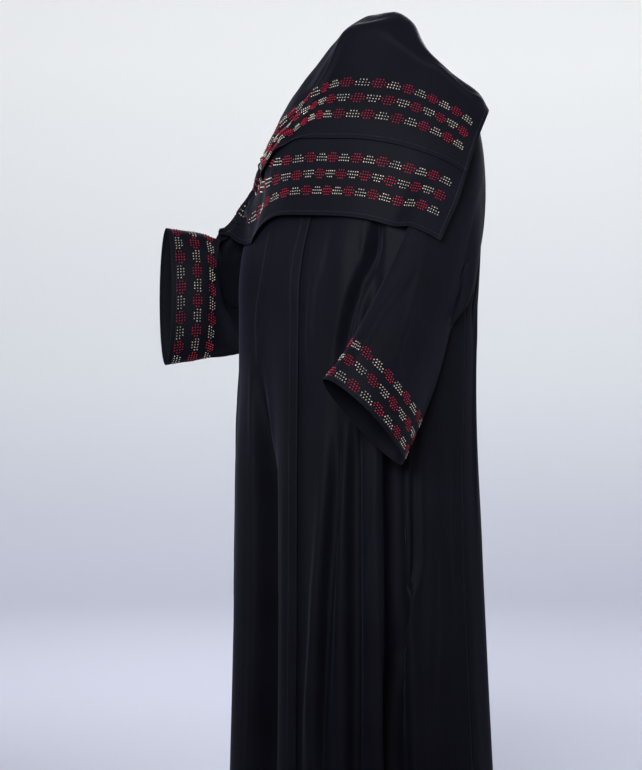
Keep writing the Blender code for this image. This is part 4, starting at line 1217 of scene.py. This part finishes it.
def add_cuff_stones(name, cloth, materials):
    """Three rows of stones round a cuff, with a whole number of clusters in each row."""
    places = {"clear": [], "red": []}
    columns = cloth.points.shape[1]
    for row in range(3):
        middle = CUFF_FIRST_ROW + ROW_PITCH * row
        clusters = 2 * round(path_lengths(cuff_path(cloth, middle))[-1] / CLUSTER_PITCH / 2)
        for turn, (colour, offsets) in enumerate(zip(places, cluster_stones(row))):
            for line in sorted({y for _, y in offsets}):
                run = path_lengths(cuff_path(cloth, middle + line))
                pitch = run[-1] / clusters
                for k in range((turn + row) % 2, clusters, 2):
                    for x in (x for x, y in offsets if y == line):
                        column = place_in(run, (pitch * (k + 0.5 + x / CLUSTER_PITCH)) % run[-1])
                        found = cuff_row(cloth, middle + line, int(column) % columns)
                        places[colour].append(cloth.at(found, column))
    add_stones(name, places, materials)


def grid_path(cloth, row=None, column=None):
    """Path along one row or one column of a cloth's grid, whole or fractional."""
    rows, columns = cloth.points.shape[:2]
    if column is None:
        return [cloth.at(row, i) for i in range(columns)]
    return [cloth.at(j, column) for j in range(rows)]


def stitch_places(path):
    """Places of the stitches along a path."""
    run = path_lengths(path)
    places = []
    at = 0.5 * STITCH_PITCH
    while at < run[-1]:
        k = min(int(np.searchsorted(run, at, side="right")) - 1, len(path) - 2)
        t = (at - run[k]) / max(run[k + 1] - run[k], 1e-9)
        (start, start_normal, _), (end, end_normal, _) = path[k], path[k + 1]
        places.append((start.lerp(end, t), start_normal.lerp(end_normal, t).normalized(), (end - start).normalized()))
        at += STITCH_PITCH
    return places


def add_stitches(name, paths, material):
    """One mesh of the stitches along several paths."""
    places = [place for path in paths for place in stitch_places(path)]
    small_pieces(name, places, *stitch_shape(), material, smooth=True)


def make_binding(panels, rows, material):
    """Narrow strip that stands on the neckline, open at the closure."""
    neck = 90 * NECK_SHARE
    ranges = (
        ("front_left", CLOSURE_ANGLE - LAP_COLUMN_STEP, neck - 1),
        ("back", 180 - neck, 180),
        ("back", -180, neck - 180),
        ("front_right", 1 - neck, CLOSURE_ANGLE),
    )
    spare = 0.01
    edge = [point for name, first, last in ranges for angle, point in zip(panels[name], rows[name][-1])
            if first - spare <= angle <= last + spare]
    grid = [[] for _ in BINDING_ROWS]
    for point in edge:
        lean = (Vector((-point.x, -point.y, 0)).normalized() * BINDING_LEAN + Vector((0, 0, 1))).normalized()
        for line, share in zip(grid, BINDING_ROWS):
            line.append(tuple(point + lean * (SEAM_GAP * 2 + BINDING_WIDTH * share)))
    unused = np.zeros((len(grid), len(edge)))
    return cloth_object("neck_binding_cloth", Cloth(grid, unused, unused), material, "neck_binding")


def make_camera():
    """Level camera that looks at the middle of what the photo shows."""
    camera = bpy.data.cameras.new("camera")
    camera.sensor_width = SENSOR
    camera.lens = SENSOR * PIXELS_PER_METRE * CAMERA_DISTANCE / IMAGE_HEIGHT_PX
    item = add_object("camera", camera)
    back = Vector((math.sin(CAMERA_AZIMUTH), -math.cos(CAMERA_AZIMUTH), 0))
    item.location = CAMERA_TARGET + back * CAMERA_DISTANCE
    item.rotation_euler = (-back).to_track_quat("-Z", "Y").to_euler()
    bpy.context.scene.camera = item


def around(azimuth, distance, height):
    """Place round the garment's middle. Azimuth 0 stands in front of the wearer, 90 on the wearer's left."""
    a = math.radians(azimuth)
    return Vector((math.sin(a) * distance, -math.cos(a) * distance, GARMENT_MIDDLE + height))


def make_lights():
    """Soft lights round the garment and on the wall."""
    for lamp in LIGHTS:
        light = bpy.data.lights.new(lamp.name, "AREA")
        light.shape = "RECTANGLE"
        light.spread = math.radians(lamp.spread)
        light.size, light.size_y = lamp.size
        light.energy = lamp.power
        item = add_object(lamp.name, light)
        item.location = around(*lamp.place)
        item.rotation_euler = (around(*lamp.aim) - item.location).to_track_quat("-Z", "Y").to_euler()


def make_stage():
    """Floor curving up into a round wall, with painted shade low down and faint light from the whole surroundings."""
    material, tree, shader = new_material("backdrop", Roughness=0.9)
    place = node(tree, "ShaderNodeTexCoord")
    split = node(tree, "ShaderNodeSeparateXYZ")
    # Base colour by height: painted shade, darker and bluer towards the floor
    height = node(tree, "ShaderNodeMapRange", From_Min=FLOOR_HEIGHT, From_Max=-FLOOR_HEIGHT)
    tone = colour_ramp(tree, *STAGE_PAINTED_SHADE)
    join(tree, (place, "Object", split, "Vector"), (split, "Z", height, "Value"), (height, "Result", tone, "Fac"),
         (tone, "Color", shader, "Base Color"))
    bends = [math.radians(turn) for turn in range(6, 91, 6)]
    profile = [(0.01, FLOOR_HEIGHT), (FLOOR_RADIUS, FLOOR_HEIGHT)]
    profile += [(FLOOR_RADIUS + WALL_BEND * math.sin(turn), FLOOR_HEIGHT + WALL_BEND * (1 - math.cos(turn)))
                for turn in bends]
    profile.append((FLOOR_RADIUS + WALL_BEND, FLOOR_HEIGHT + WALL_BEND + WALL_HEIGHT))
    turns = [2 * math.pi * k / WALL_SIDES for k in range(WALL_SIDES)]
    points = [(r * math.cos(turn), r * math.sin(turn), z) for r, z in profile for turn in turns]
    faces = grid_faces(len(profile), WALL_SIDES, True, False)
    stage = mesh_object("backdrop", points, faces, material)
    world = bpy.data.worlds.new("studio")
    world.use_nodes = True
    settings(world.node_tree.nodes["Background"], Color=(0.95, 0.96, 1.0, 1), Strength=0.18)
    scene = bpy.context.scene
    scene.world = world
    scene.view_settings.view_transform = "Standard"
    make_lights()


def add_all_stitches(cloths, panel_names, thread):
    """Stitching of the veil's and the cuffs' hems, the robe's hem and the placket."""
    for name, front in (("veil_upper", UPPER_FRONT), ("veil_lower", LOWER_FRONT)):
        cloth = cloths[name]
        paths = [grid_path(cloth, column=place_in(cloth.across[0], u))
                 for u in (-VEIL_RIGHT + VEIL_HEM, VEIL_LEFT - VEIL_HEM)]
        paths.append(grid_path(cloth, row=place_in(cloth.along[:, 0], -front + VEIL_HEM)))
        add_stitches(f"{name}_stitches", paths, thread)
    for name in ("sleeve_left", "sleeve_right"):
        add_stitches(f"{name}_stitches", [cuff_path(cloths[name], CUFF_HEM)], thread)
    hems = [grid_path(cloths[name], row=place_in(cloths[name].along[:, 0], -ROBE_LENGTH + ROBE_HEM))
            for name in panel_names]
    add_stitches("robe_hem_stitches", hems, thread)
    cloth = cloths["front_right"]
    placket = place_in(cloth.across[0], CLOSURE_ANGLE - PLACKET_WIDTH / ROBE_METRES_A_DEGREE)
    add_stitches("placket_stitches", [grid_path(cloth, column=placket)], thread)


def main():
    crepe, metal = crepe_material(), snap_metal()
    thread = thread_material("thread", (0.030, 0.032, 0.050))
    stones = {
        "clear": stone_material("clear_stone", (0.16, 0.145, 0.12), (0.62, 0.57, 0.48), 0.4),
        "red": stone_material("red_stone", (0.14, 0.001, 0.010), (0.42, 0.008, 0.035), 0.3),
    }
    for name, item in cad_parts.items():
        item.data.materials.clear()
        item.data.materials.append(metal if name.startswith("snap") else crepe)
    make_camera()
    make_stage()

    coarse_rows = panel_grids(FRONT_COLUMN_STEP, BACK_COLUMN_STEP)[1]
    panels, rows = panel_grids(ROBE_COLUMN_STEP, ROBE_COLUMN_STEP, FINE_ROWS_BELOW, FINE_ROWS_ABOVE)
    cloths = {name: robe_cloth(name, panels[name], rows[name]) for name in rows}
    for side, sections, creases, column in (("left", LEFT_SLEEVE, LEFT_SLEEVE_CREASES, -1),
                                            ("right", RIGHT_SLEEVE, RIGHT_SLEEVE_CREASES, 0)):
        mirrored = side == "right"
        front = armhole_edge(coarse_rows[f"front_{side}"], column, mirrored)
        back = armhole_edge(coarse_rows["back"], -1 - column, not mirrored)
        name = f"sleeve_{side}"
        coarse_rows[name] = sleeve_rows(armhole_ring(front, back), sections)
        cloths[name] = sleeve_cloth(coarse_rows[name], mirrored, creases)
    fine_skin = skin(*((cloth.points, cloth.closed, cloth.flip) for cloth in cloths.values()))
    cloths["veil_upper"], cloths["veil_lower"] = veil_cloths(coarse_rows, fine_skin)
    for name, cloth in cloths.items():
        cloth.keep_normals()
        cloth_object(f"{name}_cloth", cloth, crepe, name)
    binding = make_binding(panels, rows, crepe)

    add_veil_stones("veil_upper", cloths["veil_upper"], UPPER_FRONT, stones)
    add_veil_stones("veil_lower", cloths["veil_lower"], LOWER_FRONT, stones)
    add_cuff_stones("cuff_left", cloths["sleeve_left"], stones)
    add_cuff_stones("cuff_right", cloths["sleeve_right"], stones)
    add_all_stitches(cloths, rows, thread)


main()
